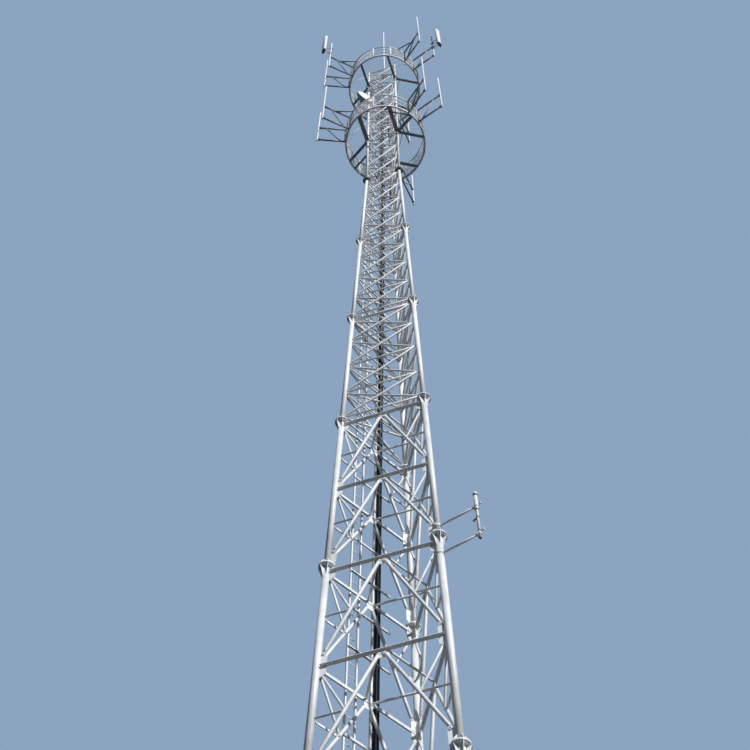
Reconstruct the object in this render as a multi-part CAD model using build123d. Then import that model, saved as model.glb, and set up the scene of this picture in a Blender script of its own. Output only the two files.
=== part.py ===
"""Three-legged tubular steel lattice tower with two round antenna platforms.

The tower is a half-size scale model: each length is half of the real one, in millimetres.
+Z points up. The origin lies under the base flange of leg a, on the flange's flat face.
Legs a and b stand at the front, leg c at the rear, and the plan is an equilateral triangle.
"""

import os
from math import cos, radians, sin, sqrt, tan

from build123d import *

# Main form of the tower
section_length = 2500.0
k_section_count = 5
x_section_count = 3
top_part_length = 6250.0
base_spacing = 1500.0
top_spacing = 527.0

# Legs: one outer diameter for each tapered section, then the straight top part
leg_diameters = (80.0, 76.0, 70.0, 64.0, 60.0, 54.0, 48.0, 44.0)
top_leg_diameter = 40.0
tube_sides = 10
flange_sides = 8
flange_overhang = 43.0
small_flange_overhang = 34.0
small_leg_diameter = 45.0
flange_thickness = 10.0
base_flange_overhang = 52.0
base_flange_thickness = 14.0

# Bracing bars and plates
node_drop = 75.0
level_bar_width = 40.0
main_bar_width = 30.0
cross_bar_width = 24.0
cross_level_width = 20.0
joint_level_height = 15000.0
bar_depth = 22.0
bar_gap = 4.0
slim_bar_radius = 9.0
slim_bar_sides = 4
gusset_thickness = 5.0
gusset_reach = 70.0
gusset_tall = 170.0
gusset_short = 40.0
gusset_outer_share = 0.7
middle_gusset_width = 170.0
middle_gusset_depth = 130.0
middle_gusset_rise = 24.0
plan_bar_shift = 34.0
panels_per_section = 4
cross_panel_height = section_length / panels_per_section
seat_gap = 0.3

# Climbing ladder, cable ladder and the cross beams that carry them, outside the rear left face
ladder_width = 105.0
ladder_left = -201.0
ladder_stile = 14.0
rail_depth = 18.0
rung_pitch = 500.0
rung_radius = 6.0
rung_sides = 3
ladder_foot = 300.0
ladder_over_deck = 560.0
beam_pitch = 500.0
first_beam_share = 0.9
beam_height = 24.0
beam_depth = 12.0
beam_right = 256.0
cable_rail_width = 20.0
cable_rail_centre = 65.0
middle_rail_width = 13.0
middle_rail_centre = 118.0
cable_radius = 7.0
cable_sides = 6
cable_gap = 0.6
cable_start = 500.0
cable_under_deck = 120.0
cables_beside_rail = 2

# Round platforms
platform_levels = {"lower": 21930.0, "upper": 25260.0}
stay_heights = {"lower": 1000.0, "upper": 800.0}
ring_radius = 684.0
ring_sides = 18
ring_wall = 14.0
ring_height = 32.0
rail_height = 640.0
rail_size = 20.0
post_depth = 12.0
beam_width = 36.0
beam_recess = 6.0
clamp_wall = 8.0
clamp_height = 60.0
clamp_lift = 15.0
stay_radius = 9.0
stay_head_gap = 6.0
stay_foot_inset = 60.0
stay_foot_lift = 20.0
deck_thickness = 5.0
deck_bar_width = 6.0
deck_pitch = 350.0
deck_clearance = 4.0
deck_rim_width = 12.0
deck_hole = top_spacing / sqrt(3) + 170.0
deck_hole_rim = 16.0
deck_recess = 3.0

# Antenna arms, poles and antennas
arm_turn = 3.0
arm_offset_angle = 9.8
pole_circle_radius = 1160.0
pole_rises = {
    "lower": (1550.0, 1900.0, 2090.0, 1690.0, 1440.0, 1440.0),
    "upper": (1870.0, 1720.0, 1940.0, 1530.0, 1530.0, 1530.0),
}
pole_drop = 50.0
pole_diameter = 30.0
pole_sides = 8
arm_bar_width = 20.0
arm_brace_width = 14.0
arm_depth = 16.0
arm_brace_start = 80.0
arm_brace_end = 120.0
panel_antenna_angles = (342.8, 222.8)
panel_antenna_lifts = (480.0, 870.0)
panel_antenna_height = 1080.0
panel_antenna_width = 120.0
panel_antenna_depth = 62.0
panel_antenna_offset = 120.0
panel_bracket_size = 22.0
panel_bracket_shares = (0.08, 0.4)

# Dish beside leg a, side antenna on leg b, step pegs on leg a
dish_height = 23750.0
dish_angle = 241.6
dish_distance = 472.0
dish_aim = 321.2
dish_radius = 165.0
dish_rim = 40.0
dish_depth = 150.0
dish_sides = 18
dish_hub_radius = 40.0
dish_post_distance = 40.0
dish_post_radius = 16.0
dish_arm_radius = 14.0
dish_arm_drop = 130.0
side_antenna_angle = 336.0
side_antenna_distance = 968.0
side_antenna_bottom = 9677.0
side_antenna_height = 683.0
side_antenna_diameter = 27.0
side_cap_diameter = 40.0
side_cap_height = 40.0
side_cap_taper = 12.0
side_arm_heights = (9742.0, 10145.0)
side_arm_radius = 10.0
peg_first = 16620.0
peg_pitch = 550.0
peg_count = 6
peg_length = 46.0
peg_radius = 5.0

# Frame on the leg heads and the lightning rod
top_frame_drop = 14.0
top_bar_radius = 12.0
top_bar_gap = 0.6
rod_plate_radius = 60.0
rod_parts = ((22.0, 1300.0), (15.0, 1200.0), (8.0, 1200.0))

leg_angles = {"a": 210.0, "b": 330.0, "c": 90.0}
faces = (("a", "b"), ("b", "c"), ("c", "a"))
taper_height = section_length * (k_section_count + x_section_count)
tower_height = taper_height + top_part_length
base_spread = base_spacing / sqrt(3)
top_spread = top_spacing / sqrt(3)
axis_x = -base_spread * cos(radians(leg_angles["a"]))
axis_y = -base_spread * sin(radians(leg_angles["a"]))


def spread(height):
    """Distance of the leg axes from the tower's axis at a height."""
    share = min(height, taper_height) / taper_height
    return base_spread + (top_spread - base_spread) * share


def around(angle, radius, height):
    """Point at an angle and a radius round the tower's axis."""
    turn = radians(angle)
    return Vector(axis_x + radius * cos(turn), axis_y + radius * sin(turn), height)


def leg_point(leg, height):
    """Point on a leg's axis."""
    return around(leg_angles[leg], spread(height), height)


def leg_radius(height):
    """Outer radius of the legs at a height."""
    if height >= taper_height:
        return top_leg_diameter / 2
    return leg_diameters[int(height // section_length)] / 2


def bar(start, end, radius, sides):
    """Straight bar of few sides between two points."""
    run = end - start
    profile = Plane(origin=start, z_dir=run) * RegularPolygon(radius, sides)
    return Solid.extrude(profile.face(), run)


def prism(centre, radius, sides, height, turn=0.0):
    """Upright bar of few sides that stands on a point."""
    profile = Plane(origin=centre) * RegularPolygon(radius, sides, rotation=turn)
    return Solid.extrude(profile.face(), Vector(0, 0, height))


def frustum(plane, rear_radius, front_radius, depth, sides):
    """Upright solid with flat sides that narrows from one outline to a smaller one."""
    turns = [radians(360 / sides * index) for index in range(sides)]
    rear = [plane.from_local_coords((rear_radius * cos(t), rear_radius * sin(t), 0)) for t in turns]
    front = [
        plane.from_local_coords((front_radius * cos(t), front_radius * sin(t), depth)) for t in turns
    ]
    walls = [
        Face(Wire.make_polygon([rear[index - 1], rear[index], front[index], front[index - 1]]))
        for index in range(sides)
    ]
    ends = [Face(Wire.make_polygon(rear)), Face(Wire.make_polygon(front))]
    return Solid(Shell(walls + ends))


def strip(plane, start, end, width):
    """Outline of a straight bar between two points, flat in a plane."""
    low = plane.to_local_coords(start)
    high = plane.to_local_coords(end)
    side = Vector(low.Y - high.Y, high.X - low.X).normalized() * (width / 2)
    return outline(low - side, high - side, high + side, low + side)


def outline(*corners):
    """Flat face with the corners given."""
    return Polygon(*[(corner.X, corner.Y) for corner in corners], align=None)


def slab(plane, outlines, depth):
    """Solid of one depth, centred on a plane, from outlines that are merged first."""
    return extrude(plane * (Sketch() + outlines), amount=depth / 2, both=True)


def block(centre, along, length, width, height):
    """Rectangular bar centred on a point, with its length along a horizontal direction."""
    frame = Plane(origin=centre, x_dir=along, z_dir=(0, 0, 1))
    return frame * Box(length, width, height)


def flat_bar(plane, ends, width, side):
    """Bar that lies on the plates of a face, on their outer side or, with side -1, their inner."""
    seat = plane.offset(side * (gusset_thickness / 2 + seat_gap))
    return extrude(seat * strip(plane, *ends, width), amount=side * bar_depth)


def flat_plate(plane, profile):
    """Plate with its middle in a plane."""
    return extrude(plane * profile, amount=gusset_thickness / 2, both=True)


def joined(shapes):
    """Fuse shapes that touch into one part."""
    return Part() + shapes


def save(name, *shapes):
    """Write one node as a STEP file."""
    solids = [solid for shape in shapes for solid in shape.solids()]
    export_step(Compound(children=solids), f"parts/{name}.step")


def flange(foot, radius, thickness):
    """Round flange that stands on a point."""
    return prism(foot, radius, flange_sides, thickness, 180 / flange_sides)


def leg_section(leg, bottom, top, diameter):
    """One leg tube with the flanges at its two ends."""
    start = leg_point(leg, bottom)
    end = leg_point(leg, top)
    profile = Plane(origin=start) * RegularPolygon(diameter / 2, tube_sides)
    tube = Solid.extrude(profile.face(), end - start)
    overhang = flange_overhang if diameter > small_leg_diameter else small_flange_overhang
    if bottom == 0:
        pieces = [tube, flange(start, diameter / 2 + base_flange_overhang, base_flange_thickness)]
    else:
        pieces = [tube, flange(start, diameter / 2 + overhang, flange_thickness)]
    if top < tower_height:
        low = leg_point(leg, top) - Vector(0, 0, flange_thickness)
        pieces.append(flange(low, diameter / 2 + overhang, flange_thickness))
    return joined(pieces)


def face_middle(leg, other, height):
    """Middle of a face at a height."""
    return (leg_point(leg, height) + leg_point(other, height)) / 2


def face_plane(leg, other, height):
    """Plane of a face, with its origin at the middle of the face."""
    middle = face_middle(leg, other, height)
    across = (leg_point(other, height) - leg_point(leg, height)).normalized()
    upward = (face_middle(leg, other, height + 1) - middle).normalized()
    return Plane(origin=middle, x_dir=across, z_dir=across.cross(upward))


def leg_gusset(plane, leg, other, height, below, above):
    """Outline of a plate that stands on a leg's wall, in the plane of a face."""
    foot = leg_point(leg, height)
    along = (leg_point(leg, height + 1) - foot).normalized()
    across = (leg_point(other, height) - foot).normalized()
    inner = leg_radius(height) + seat_gap
    outer = leg_radius(height) + gusset_reach
    corners = [
        foot + across * inner - along * below,
        foot + across * outer - along * (below * gusset_outer_share),
        foot + across * outer + along * (above * gusset_outer_share),
        foot + across * inner + along * above,
    ]
    if plane.to_local_coords(across + plane.origin).X < 0:
        corners.reverse()
    return outline(*[plane.to_local_coords(corner) for corner in corners])


def middle_gusset(plane, middle):
    """Outline of the plate at the middle of a main horizontal, which takes the two diagonals."""
    centre = plane.to_local_coords(middle)
    half = middle_gusset_width / 2
    return outline(
        centre + Vector(-half * gusset_outer_share, -middle_gusset_depth),
        centre + Vector(half * gusset_outer_share, -middle_gusset_depth),
        centre + Vector(half, middle_gusset_rise),
        centre + Vector(-half, middle_gusset_rise),
    )


def shortened(start, end, start_trim, end_trim):
    """End points of a bar after a length is cut off each end."""
    way = (end - start).normalized()
    return start + way * start_trim, end - way * end_trim


def clear_reach(leg, height, target, width, clearance):
    """Distance from a leg's axis at which the end of a flat bar is clear of the leg's wall."""
    foot = leg_point(leg, height)
    lean = (leg_point(leg, height + 1) - foot).normalized()
    along = abs((target - foot).normalized().dot(lean))
    return (leg_radius(height) + clearance + width / 2 * along) / sqrt(1 - along**2)


def trimmed(start, end, start_trim, end_trim, radius, sides):
    """Bar between two points, with a length cut off each end."""
    return bar(*shortened(start, end, start_trim, end_trim), radius, sides)


def k_levels(section):
    """Heights of the bottom, middle and top nodes of a section."""
    bottom = section * section_length
    return (
        bottom + node_drop,
        bottom + (section_length - node_drop) / 2,
        bottom + section_length - node_drop,
    )


def diagonal_start(middle, foot, across):
    """Distance from a horizontal's middle at which a diagonal clears it and the other diagonal."""
    level = abs((foot - middle).normalized().dot(across))
    upright = sqrt(1 - level**2)
    half = main_bar_width / 2
    below = (level_bar_width / 2 + bar_gap + half * level) / upright
    beside = (bar_gap / 2 + half * upright) / level
    return max(below, beside)


def k_face(leg, other, section):
    """K bracing of one face over one section: two panels and their plates."""
    plane = face_plane(leg, other, section * section_length)
    low, mid, high = k_levels(section)
    solids = []
    for start, end in ((low, mid), (mid, high)):
        near_end = leg_point(leg, end)
        far_end = leg_point(other, end)
        reach = clear_reach(leg, end, far_end, level_bar_width, bar_gap)
        level = shortened(near_end, far_end, reach, reach)
        solids.append(flat_bar(plane, level, level_bar_width, 1))
        middle = face_middle(leg, other, end)
        solids.append(flat_plate(plane, middle_gusset(plane, middle)))
        for near in (leg, other):
            foot = leg_point(near, start)
            reach = clear_reach(near, start, middle, main_bar_width, bar_gap)
            run = shortened(middle, foot, diagonal_start(middle, foot, plane.x_dir), reach)
            solids.append(flat_bar(plane, run, main_bar_width, 1))
    for near, far in ((leg, other), (other, leg)):
        for height, below, above in (
            (low, gusset_short, gusset_tall),
            (mid, gusset_tall, gusset_tall),
            (high, gusset_tall, gusset_short),
        ):
            solids.append(flat_plate(plane, leg_gusset(plane, near, far, height, below, above)))
    return solids


def x_face(leg, other, bottom, panel_count):
    """Crossed bars of one face, one family outside the other, panel above panel."""
    plane = face_plane(leg, other, bottom)
    top = bottom + panel_count * cross_panel_height
    heights = [bottom + index * cross_panel_height for index in range(panel_count + 1)]
    heights[0] = bottom + node_drop
    heights[-1] = top - node_drop
    solids = []
    for low, high in zip(heights, heights[1:]):
        for near, far, side in ((leg, other, 1), (other, leg, -1)):
            foot = leg_point(near, low)
            head = leg_point(far, high)
            foot_reach = clear_reach(near, low, head, cross_bar_width, 0)
            head_reach = clear_reach(far, high, foot, cross_bar_width, 0)
            run = shortened(foot, head, foot_reach, head_reach)
            solids.append(flat_bar(plane, run, cross_bar_width, side))
    for height in heights:
        near_end, far_end = leg_point(leg, height), leg_point(other, height)
        is_joint = height == joint_level_height - node_drop
        width = level_bar_width if is_joint else cross_level_width
        reach = clear_reach(leg, height, far_end, width, 0)
        run = shortened(near_end, far_end, reach, reach)
        solids.append(flat_plate(plane, strip(plane, *run, width)))
    return solids


def rear_face(height, along, inward):
    """Point in the frame of the rear left face, from its middle line towards leg c and inwards."""
    middle = face_middle("c", "a", height)
    across = (leg_point("c", height) - leg_point("a", height)).normalized()
    inside = (Vector(axis_x, axis_y, height) - middle).normalized()
    return middle + across * along + inside * inward


rear_across = (leg_point("c", 0) - leg_point("a", 0)).normalized()


def rail_run(along, inward, width, depth, low, high):
    """Upright rail that follows the taper and then stands straight."""
    pieces = []
    for start, end in ((low, taper_height), (taper_height, high)):
        foot = rear_face(start, along, inward)
        head = rear_face(end, along, inward)
        profile = Plane(origin=foot, x_dir=rear_across, z_dir=(0, 0, 1)) * Rectangle(width, depth)
        pieces.append(Solid.extrude(profile.face(), head - foot))
    return pieces


ladder_top = platform_levels["upper"] + ladder_over_deck
cable_top = platform_levels["upper"] - cable_under_deck
beam_inset = -(gusset_thickness / 2 + seat_gap + bar_depth + seat_gap + beam_depth / 2)
rail_inset = beam_inset - beam_depth / 2 - seat_gap - rail_depth / 2
cable_inset = beam_inset - beam_depth / 2 - seat_gap - cable_radius


def climbing_ladder():
    """Two stiles and the rungs between them."""
    pieces = []
    for along in (ladder_left, ladder_left + ladder_width):
        pieces += rail_run(along, rail_inset, ladder_stile, rail_depth, ladder_foot, ladder_top)
    count = int((ladder_top - ladder_foot) / rung_pitch)
    for index in range(count):
        height = ladder_foot + rung_pitch * (index + 0.5)
        start = rear_face(height, ladder_left, rail_inset)
        end = rear_face(height, ladder_left + ladder_width, rail_inset)
        pieces.append(bar(start, end, rung_radius, rung_sides))
    return joined(pieces)


def cable_rails():
    """Two upright rails, with the feeder cables on both sides of the second one."""
    left = rail_run(
        cable_rail_centre, rail_inset, cable_rail_width, rail_depth, ladder_foot, cable_top
    )
    middle = rail_run(
        middle_rail_centre, rail_inset, middle_rail_width, rail_depth, ladder_foot, cable_top
    )
    return [joined(left), joined(middle)]


def feeder_cables():
    """Cables side by side on both sides of the middle rail, up to the upper platform."""
    cables = []
    for side in (-1, 1):
        for step in range(cables_beside_rail):
            shift = middle_rail_width / 2 + cable_gap + cable_radius
            shift += step * (2 * cable_radius + cable_gap)
            pieces = []
            for start, end in ((cable_start, taper_height), (taper_height, cable_top)):
                foot = rear_face(start, middle_rail_centre + side * shift, cable_inset)
                head = rear_face(end, middle_rail_centre + side * shift, cable_inset)
                profile = Plane(origin=foot) * RegularPolygon(cable_radius, cable_sides)
                pieces.append(Solid.extrude(profile.face(), head - foot))
            cables.append(joined(pieces))
    return cables


def cross_beams():
    """Short level beams on the outside of the face, behind both ladders."""
    beams = []
    left = ladder_left - ladder_stile / 2
    count = int((cable_top - ladder_foot) / beam_pitch)
    for index in range(count):
        height = ladder_foot + beam_pitch * (index + first_beam_share)
        centre = rear_face(height, (left + beam_right) / 2, beam_inset)
        beams.append(block(centre, rear_across, beam_right - left, beam_depth, beam_height))
    return beams


def plan_triangle(height):
    """Three level bars inside the tower, each from the middle of one face to the next."""
    solids = []
    for (leg, corner), (_, last) in zip(faces, faces[1:] + faces[:1]):
        start_side = (leg_point(corner, height) - leg_point(leg, height)).normalized()
        end_side = (leg_point(corner, height) - leg_point(last, height)).normalized()
        start = face_middle(leg, corner, height) + start_side * plan_bar_shift
        end = face_middle(corner, last, height) + end_side * plan_bar_shift
        trim = (gusset_thickness / 2 + seat_gap + slim_bar_radius * 0.5) / sin(radians(60))
        solids.append(trimmed(start, end, trim, trim, slim_bar_radius, slim_bar_sides))
    return solids


def ring_reach(angle):
    """Distance from the tower's axis to the outside of the many-sided ring at an angle."""
    half_side = 180 / ring_sides
    off_middle = angle % (2 * half_side) - half_side
    return ring_radius * cos(radians(half_side)) / cos(radians(off_middle))


def ring(radius, wall, height, level):
    """Ring of many short straight sides."""
    outer = RegularPolygon(radius, ring_sides)
    inner = RegularPolygon(radius - wall, ring_sides)
    profile = Plane((axis_x, axis_y, level)) * (outer - inner)
    return extrude(profile, amount=height)


def outrigger_ends(level):
    """Leg and direction of each beam that runs from a leg, square to a face, out to the ring."""
    ends = []
    for leg, other in faces:
        middle = face_middle(leg, other, level)
        out = (middle - Vector(axis_x, axis_y, level)).normalized()
        for foot in (leg_point(leg, level), leg_point(other, level)):
            side = foot - Vector(axis_x, axis_y, level)
            shift = side.dot(out)
            apothem = (ring_radius - ring_wall) * cos(radians(180 / ring_sides))
            run = -shift + sqrt(shift**2 - side.length**2 + apothem**2)
            ends.append((foot, foot + out * (run + ring_wall / 2)))
    return ends


def clamp(leg, level):
    """Square block round a leg, with a hole for the leg."""
    foot = leg_point(leg, level)
    radius = top_leg_diameter / 2
    size = 2 * (radius + clamp_wall)
    turned = Plane(origin=foot + Vector(0, 0, clamp_height / 2)).rotated((0, 0, leg_angles[leg]))
    hole = prism(foot - Vector(0, 0, 1), radius + seat_gap, tube_sides, clamp_height + 2)
    return turned * Box(size, size, clamp_height) - hole


def deck_frame(level):
    """Ring, outrigger beams, radial beams and leg clamps of one platform."""
    pieces = [ring(ring_radius, ring_wall, ring_height, level)]
    beam_level = Vector(0, 0, ring_height / 2)
    start_gap = top_leg_diameter / 2 + clamp_wall / 2
    runs = outrigger_ends(level)
    for leg, angle in leg_angles.items():
        runs.append((leg_point(leg, level), around(angle, ring_radius - ring_wall / 2, level)))
        pieces.append(clamp(leg, level + clamp_lift))
    for foot, end in runs:
        way = (end - foot).normalized()
        start = foot + way * start_gap
        centre = (start + end) / 2 + beam_level
        pieces.append(block(centre, way, (end - start).length, beam_width, ring_height - beam_recess))
    return joined(pieces)


def arm_angles():
    """Angles of the antenna arms, two beside each leg."""
    centres = [angle + arm_turn for angle in leg_angles.values()]
    return [centre + side * arm_offset_angle for centre in centres for side in (-1, 1)]


def post_angles():
    """Angles of the guard posts: at the antenna arms and at the middle of each face."""
    return arm_angles() + [angle + 60 for angle in leg_angles.values()]


def guard_rail(level):
    """Top rail, middle rail and the two lengths of each post, on the platform's ring."""
    low = level + ring_height
    middle = low + rail_height * 0.5
    top = low + rail_height - rail_size
    rails = [
        ring(ring_radius, rail_size, rail_size, top),
        ring(ring_radius, post_depth, post_depth, middle),
    ]
    posts = []
    for angle in post_angles():
        way = Vector(cos(radians(angle)), sin(radians(angle)), 0)
        reach = ring_reach(angle) - ring_wall / 2 - 1
        for start, end in ((low, middle), (middle + post_depth, top)):
            length = end - start - 2 * seat_gap
            centre = around(angle, reach, (start + end) / 2)
            posts.append(block(centre, way, post_depth, rail_size, length))
    return rails + posts


def deck_mesh(level):
    """Open steel deck between the tower and the ring."""
    edge = ring_radius - ring_wall - deck_clearance
    outer = RegularPolygon(edge, ring_sides)
    rim = RegularPolygon(edge - deck_rim_width, ring_sides)
    hole = RegularPolygon(deck_hole, 3, rotation=90)
    hole_rim = RegularPolygon(deck_hole + deck_hole_rim, 3, rotation=90)
    span = 2 * ring_radius
    count = int(ring_radius / deck_pitch)
    lines = Sketch()
    for index in range(-count, count + 1):
        lines += Pos(index * deck_pitch, 0) * Rectangle(deck_bar_width, span)
        lines += Pos(0, index * deck_pitch) * Rectangle(span, deck_bar_width)
    profile = (lines & outer) + (outer - rim) + hole_rim
    profile -= hole
    top = level + ring_height - deck_recess + seat_gap
    return extrude(Plane((axis_x, axis_y, top)) * profile, amount=deck_thickness)


def stays(level, height):
    """Inclined stays from a clamp on each leg down to the platform's ring."""
    pieces = []
    for leg, angle in leg_angles.items():
        reach = top_spread + top_leg_diameter / 2 + clamp_wall + stay_head_gap
        head = around(angle, reach, level + height)
        foot = around(angle, ring_radius - stay_foot_inset, level + ring_height + stay_foot_lift)
        tie = bar(head, foot, stay_radius, slim_bar_sides)
        pieces.append(joined([tie, clamp(leg, level + height - clamp_height / 2)]))
    return pieces


def arm_start(angle):
    """Distance from the axis at which a square-ended arm clears the slanting side of the ring."""
    half_side = 180 / ring_sides
    off_middle = abs(angle % (2 * half_side) - half_side)
    return ring_reach(angle) + seat_gap + arm_depth / 2 * tan(radians(off_middle))


def antenna_arm(angle, level):
    """Two level bars, an upright at the ring and a slanting brace, all of one depth."""
    low = level + ring_height / 2
    high = level + ring_height + rail_height - rail_size / 2
    inner = arm_start(angle)
    upright = inner + arm_brace_width / 2
    tip = pole_circle_radius - pole_diameter / 2 * cos(radians(180 / pole_sides)) - seat_gap
    way = Vector(cos(radians(angle)), sin(radians(angle)), 0)
    plane = Plane(origin=around(angle, 0, level), x_dir=way, z_dir=way.cross(Vector(0, 0, 1)))
    edge = arm_bar_width / 2
    bars = [
        (around(angle, inner, low), around(angle, tip, low), arm_bar_width),
        (around(angle, inner, high), around(angle, tip, high), arm_bar_width),
        (
            around(angle, inner + arm_brace_start, low),
            around(angle, tip - arm_brace_end, high),
            arm_brace_width,
        ),
        (around(angle, upright, low - edge), around(angle, upright, high + edge), arm_brace_width),
    ]
    return slab(plane, [strip(plane, start, end, width) for start, end, width in bars], arm_depth)


def antenna_pole(angle, level, rise):
    """Upright pole at the tips of an antenna arm, with a flat side towards the arm."""
    foot = around(angle, pole_circle_radius, level - pole_drop)
    return prism(foot, pole_diameter / 2, pole_sides, pole_drop + rise, angle + 180 / pole_sides)


def panel_antenna(angle, lift):
    """Upright panel antenna with a rounded front, outside an antenna pole."""
    foot = around(angle, pole_circle_radius + panel_antenna_offset, platform_levels["upper"] + lift)
    way = Vector(cos(radians(angle)), sin(radians(angle)), 0)
    half = panel_antenna_width / 2
    profile = outline(
        Vector(0, -half),
        Vector(panel_antenna_depth * 0.5, -half),
        Vector(panel_antenna_depth * 0.85, -half * 0.7),
        Vector(panel_antenna_depth, -half * 0.3),
        Vector(panel_antenna_depth, half * 0.3),
        Vector(panel_antenna_depth * 0.85, half * 0.7),
        Vector(panel_antenna_depth * 0.5, half),
        Vector(0, half),
    )
    plane = Plane(origin=foot, x_dir=way, z_dir=(0, 0, 1))
    return extrude(plane * profile, amount=panel_antenna_height)


def panel_brackets(angle, lift):
    """Two short level arms between an antenna pole and its panel antenna."""
    flat = pole_diameter / 2 * cos(radians(180 / pole_sides))
    inner = pole_circle_radius + flat + seat_gap
    outer = pole_circle_radius + panel_antenna_offset - seat_gap
    way = Vector(cos(radians(angle)), sin(radians(angle)), 0)
    arms = []
    for share in panel_bracket_shares:
        height = platform_levels["upper"] + lift + panel_antenna_height * share
        centre = around(angle, (inner + outer) / 2, height)
        size = panel_bracket_size
        arms.append(block(centre, way, outer - inner, size, size))
    return arms


def dish():
    """Round dish antenna with a flat cover, a short rim and a tapered back."""
    aim = Vector(cos(radians(dish_aim)), sin(radians(dish_aim)), 0)
    face = around(dish_angle, dish_distance, dish_height)
    rear = Plane(origin=face - aim * dish_rim, z_dir=-aim)
    drum = extrude(rear * RegularPolygon(dish_radius, dish_sides), amount=-dish_rim)
    back = frustum(rear, dish_radius, dish_hub_radius, dish_depth - dish_rim, dish_sides)
    return joined([drum, back])


def dish_mount():
    """Short stub and post behind the dish, and a level arm from the post to a clamp on leg a."""
    aim = Vector(cos(radians(dish_aim)), sin(radians(dish_aim)), 0)
    back = around(dish_angle, dish_distance, dish_height) - aim * (dish_depth + seat_gap)
    post = back - aim * dish_post_distance
    level = dish_height - dish_arm_drop
    foot = Vector(post.X, post.Y, level - dish_post_radius)
    leg_axis = leg_point("a", level)
    way = (leg_axis - Vector(post.X, post.Y, level)).normalized()
    arm_end = leg_axis - way * (top_leg_diameter / 2 + clamp_wall / 2)
    pieces = [
        bar(back, post, dish_post_radius, slim_bar_sides),
        prism(foot, dish_post_radius, pole_sides, dish_arm_drop + 2 * dish_post_radius),
        bar(Vector(post.X, post.Y, level), arm_end, dish_arm_radius, slim_bar_sides),
        clamp("a", level - clamp_height / 2),
    ]
    return joined(pieces)


def side_antenna():
    """Slim upright antenna with a domed cap."""
    foot = around(side_antenna_angle, side_antenna_distance, side_antenna_bottom)
    stem = side_antenna_height - side_cap_height
    pieces = [prism(foot, side_antenna_diameter / 2, pole_sides, stem)]
    cap = Plane(origin=foot + Vector(0, 0, stem))
    dome = cap * RegularPolygon(side_cap_diameter / 2, pole_sides)
    pieces.append(extrude(dome, amount=side_cap_height, taper=side_cap_taper))
    return joined(pieces)


def side_arm(height):
    """Level arm from a saddle on the outside of leg b to a clip round the side antenna."""
    leg_axis = leg_point("b", height)
    stem = around(side_antenna_angle, side_antenna_distance, height)
    way = (stem - leg_axis).normalized()
    tube = leg_radius(height)
    clip = side_antenna_diameter / 2
    half = clamp_height / 4
    low = Vector(0, 0, -half)
    band = prism(leg_axis + low, tube + clamp_wall, tube_sides, 2 * half)
    inner_half = block(leg_axis - way * tube, way, 2 * tube, 4 * tube, clamp_height)
    pieces = [
        bar(
            leg_axis + way * (tube + clamp_wall / 2),
            stem - way * (clip + clamp_wall / 2),
            side_arm_radius,
            slim_bar_sides,
        ),
        band - inner_half,
        prism(stem + low, clip + clamp_wall, pole_sides, 2 * half),
    ]
    start = leg_point("b", height - clamp_height)
    hole = Plane(origin=start) * RegularPolygon(tube + seat_gap, tube_sides)
    drill = Solid.extrude(hole.face(), leg_point("b", height + clamp_height) - start)
    body = joined(pieces) - drill
    return body - prism(stem + low * 2, clip + seat_gap, pole_sides, 4 * half)


def step_pegs():
    """Short pegs up the outside of leg a."""
    pegs = []
    for index in range(peg_count):
        height = peg_first + peg_pitch * index
        angle = leg_angles["a"]
        start = spread(height) + leg_radius(height) + seat_gap
        inner = around(angle, start, height)
        pegs.append(bar(inner, around(angle, start + peg_length, height), peg_radius, slim_bar_sides))
    return pegs


def top_frame():
    """Level bars between the leg heads and a plate that carries the lightning rod."""
    height = tower_height - top_frame_drop
    pieces = []
    middle = Vector(axis_x, axis_y, height)
    for leg, other in faces:
        trim = top_leg_diameter / 2 + top_bar_gap
        ends = leg_point(leg, height), leg_point(other, height)
        pieces.append(trimmed(*ends, trim, trim, top_bar_radius, slim_bar_sides))
        pieces.append(bar(middle, face_middle(leg, other, height), slim_bar_radius, slim_bar_sides))
    low = middle - Vector(0, 0, slim_bar_radius)
    pieces.append(prism(low, rod_plate_radius, pole_sides, 2 * slim_bar_radius))
    return joined(pieces)


def lightning_rod():
    """Stepped rod above the top frame."""
    foot = tower_height - top_frame_drop + slim_bar_radius
    pieces = []
    for radius, length in rod_parts:
        pieces.append(prism(Vector(axis_x, axis_y, foot), radius, pole_sides, length))
        foot += length
    return joined(pieces)


os.makedirs("parts", exist_ok=True)

section_count = k_section_count + x_section_count
for number in range(section_count):
    low = number * section_length
    high = low + section_length
    diameter = leg_diameters[number]
    save(f"leg_section_{number + 1}", *[leg_section(leg, low, high, diameter) for leg in leg_angles])
save(
    "leg_section_top",
    *[leg_section(leg, taper_height, tower_height, top_leg_diameter) for leg in leg_angles],
)

for number in range(k_section_count):
    sides = [k_face(leg, other, number) for leg, other in faces]
    save(f"k_bracing_{number + 1}", *sum(sides, []))
for number in range(k_section_count, section_count):
    low = number * section_length
    sides = [x_face(leg, other, low, panels_per_section) for leg, other in faces]
    save(f"cross_bracing_{number + 1}", *sum(sides, []))
top_panels = round(top_part_length / cross_panel_height)
sides = [x_face(leg, other, taper_height, top_panels) for leg, other in faces]
save("cross_bracing_top", *sum(sides, []))

plan_bars = []
for number in range(k_section_count):
    low, mid, high = k_levels(number)
    plan_bars += plan_triangle(mid) + plan_triangle(high)
save("plan_bracing", *plan_bars)

save("climbing_ladder", climbing_ladder())
save("cable_rails", *cable_rails())
save("feeder_cables", *feeder_cables())
save("cross_beams", *cross_beams())

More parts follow.
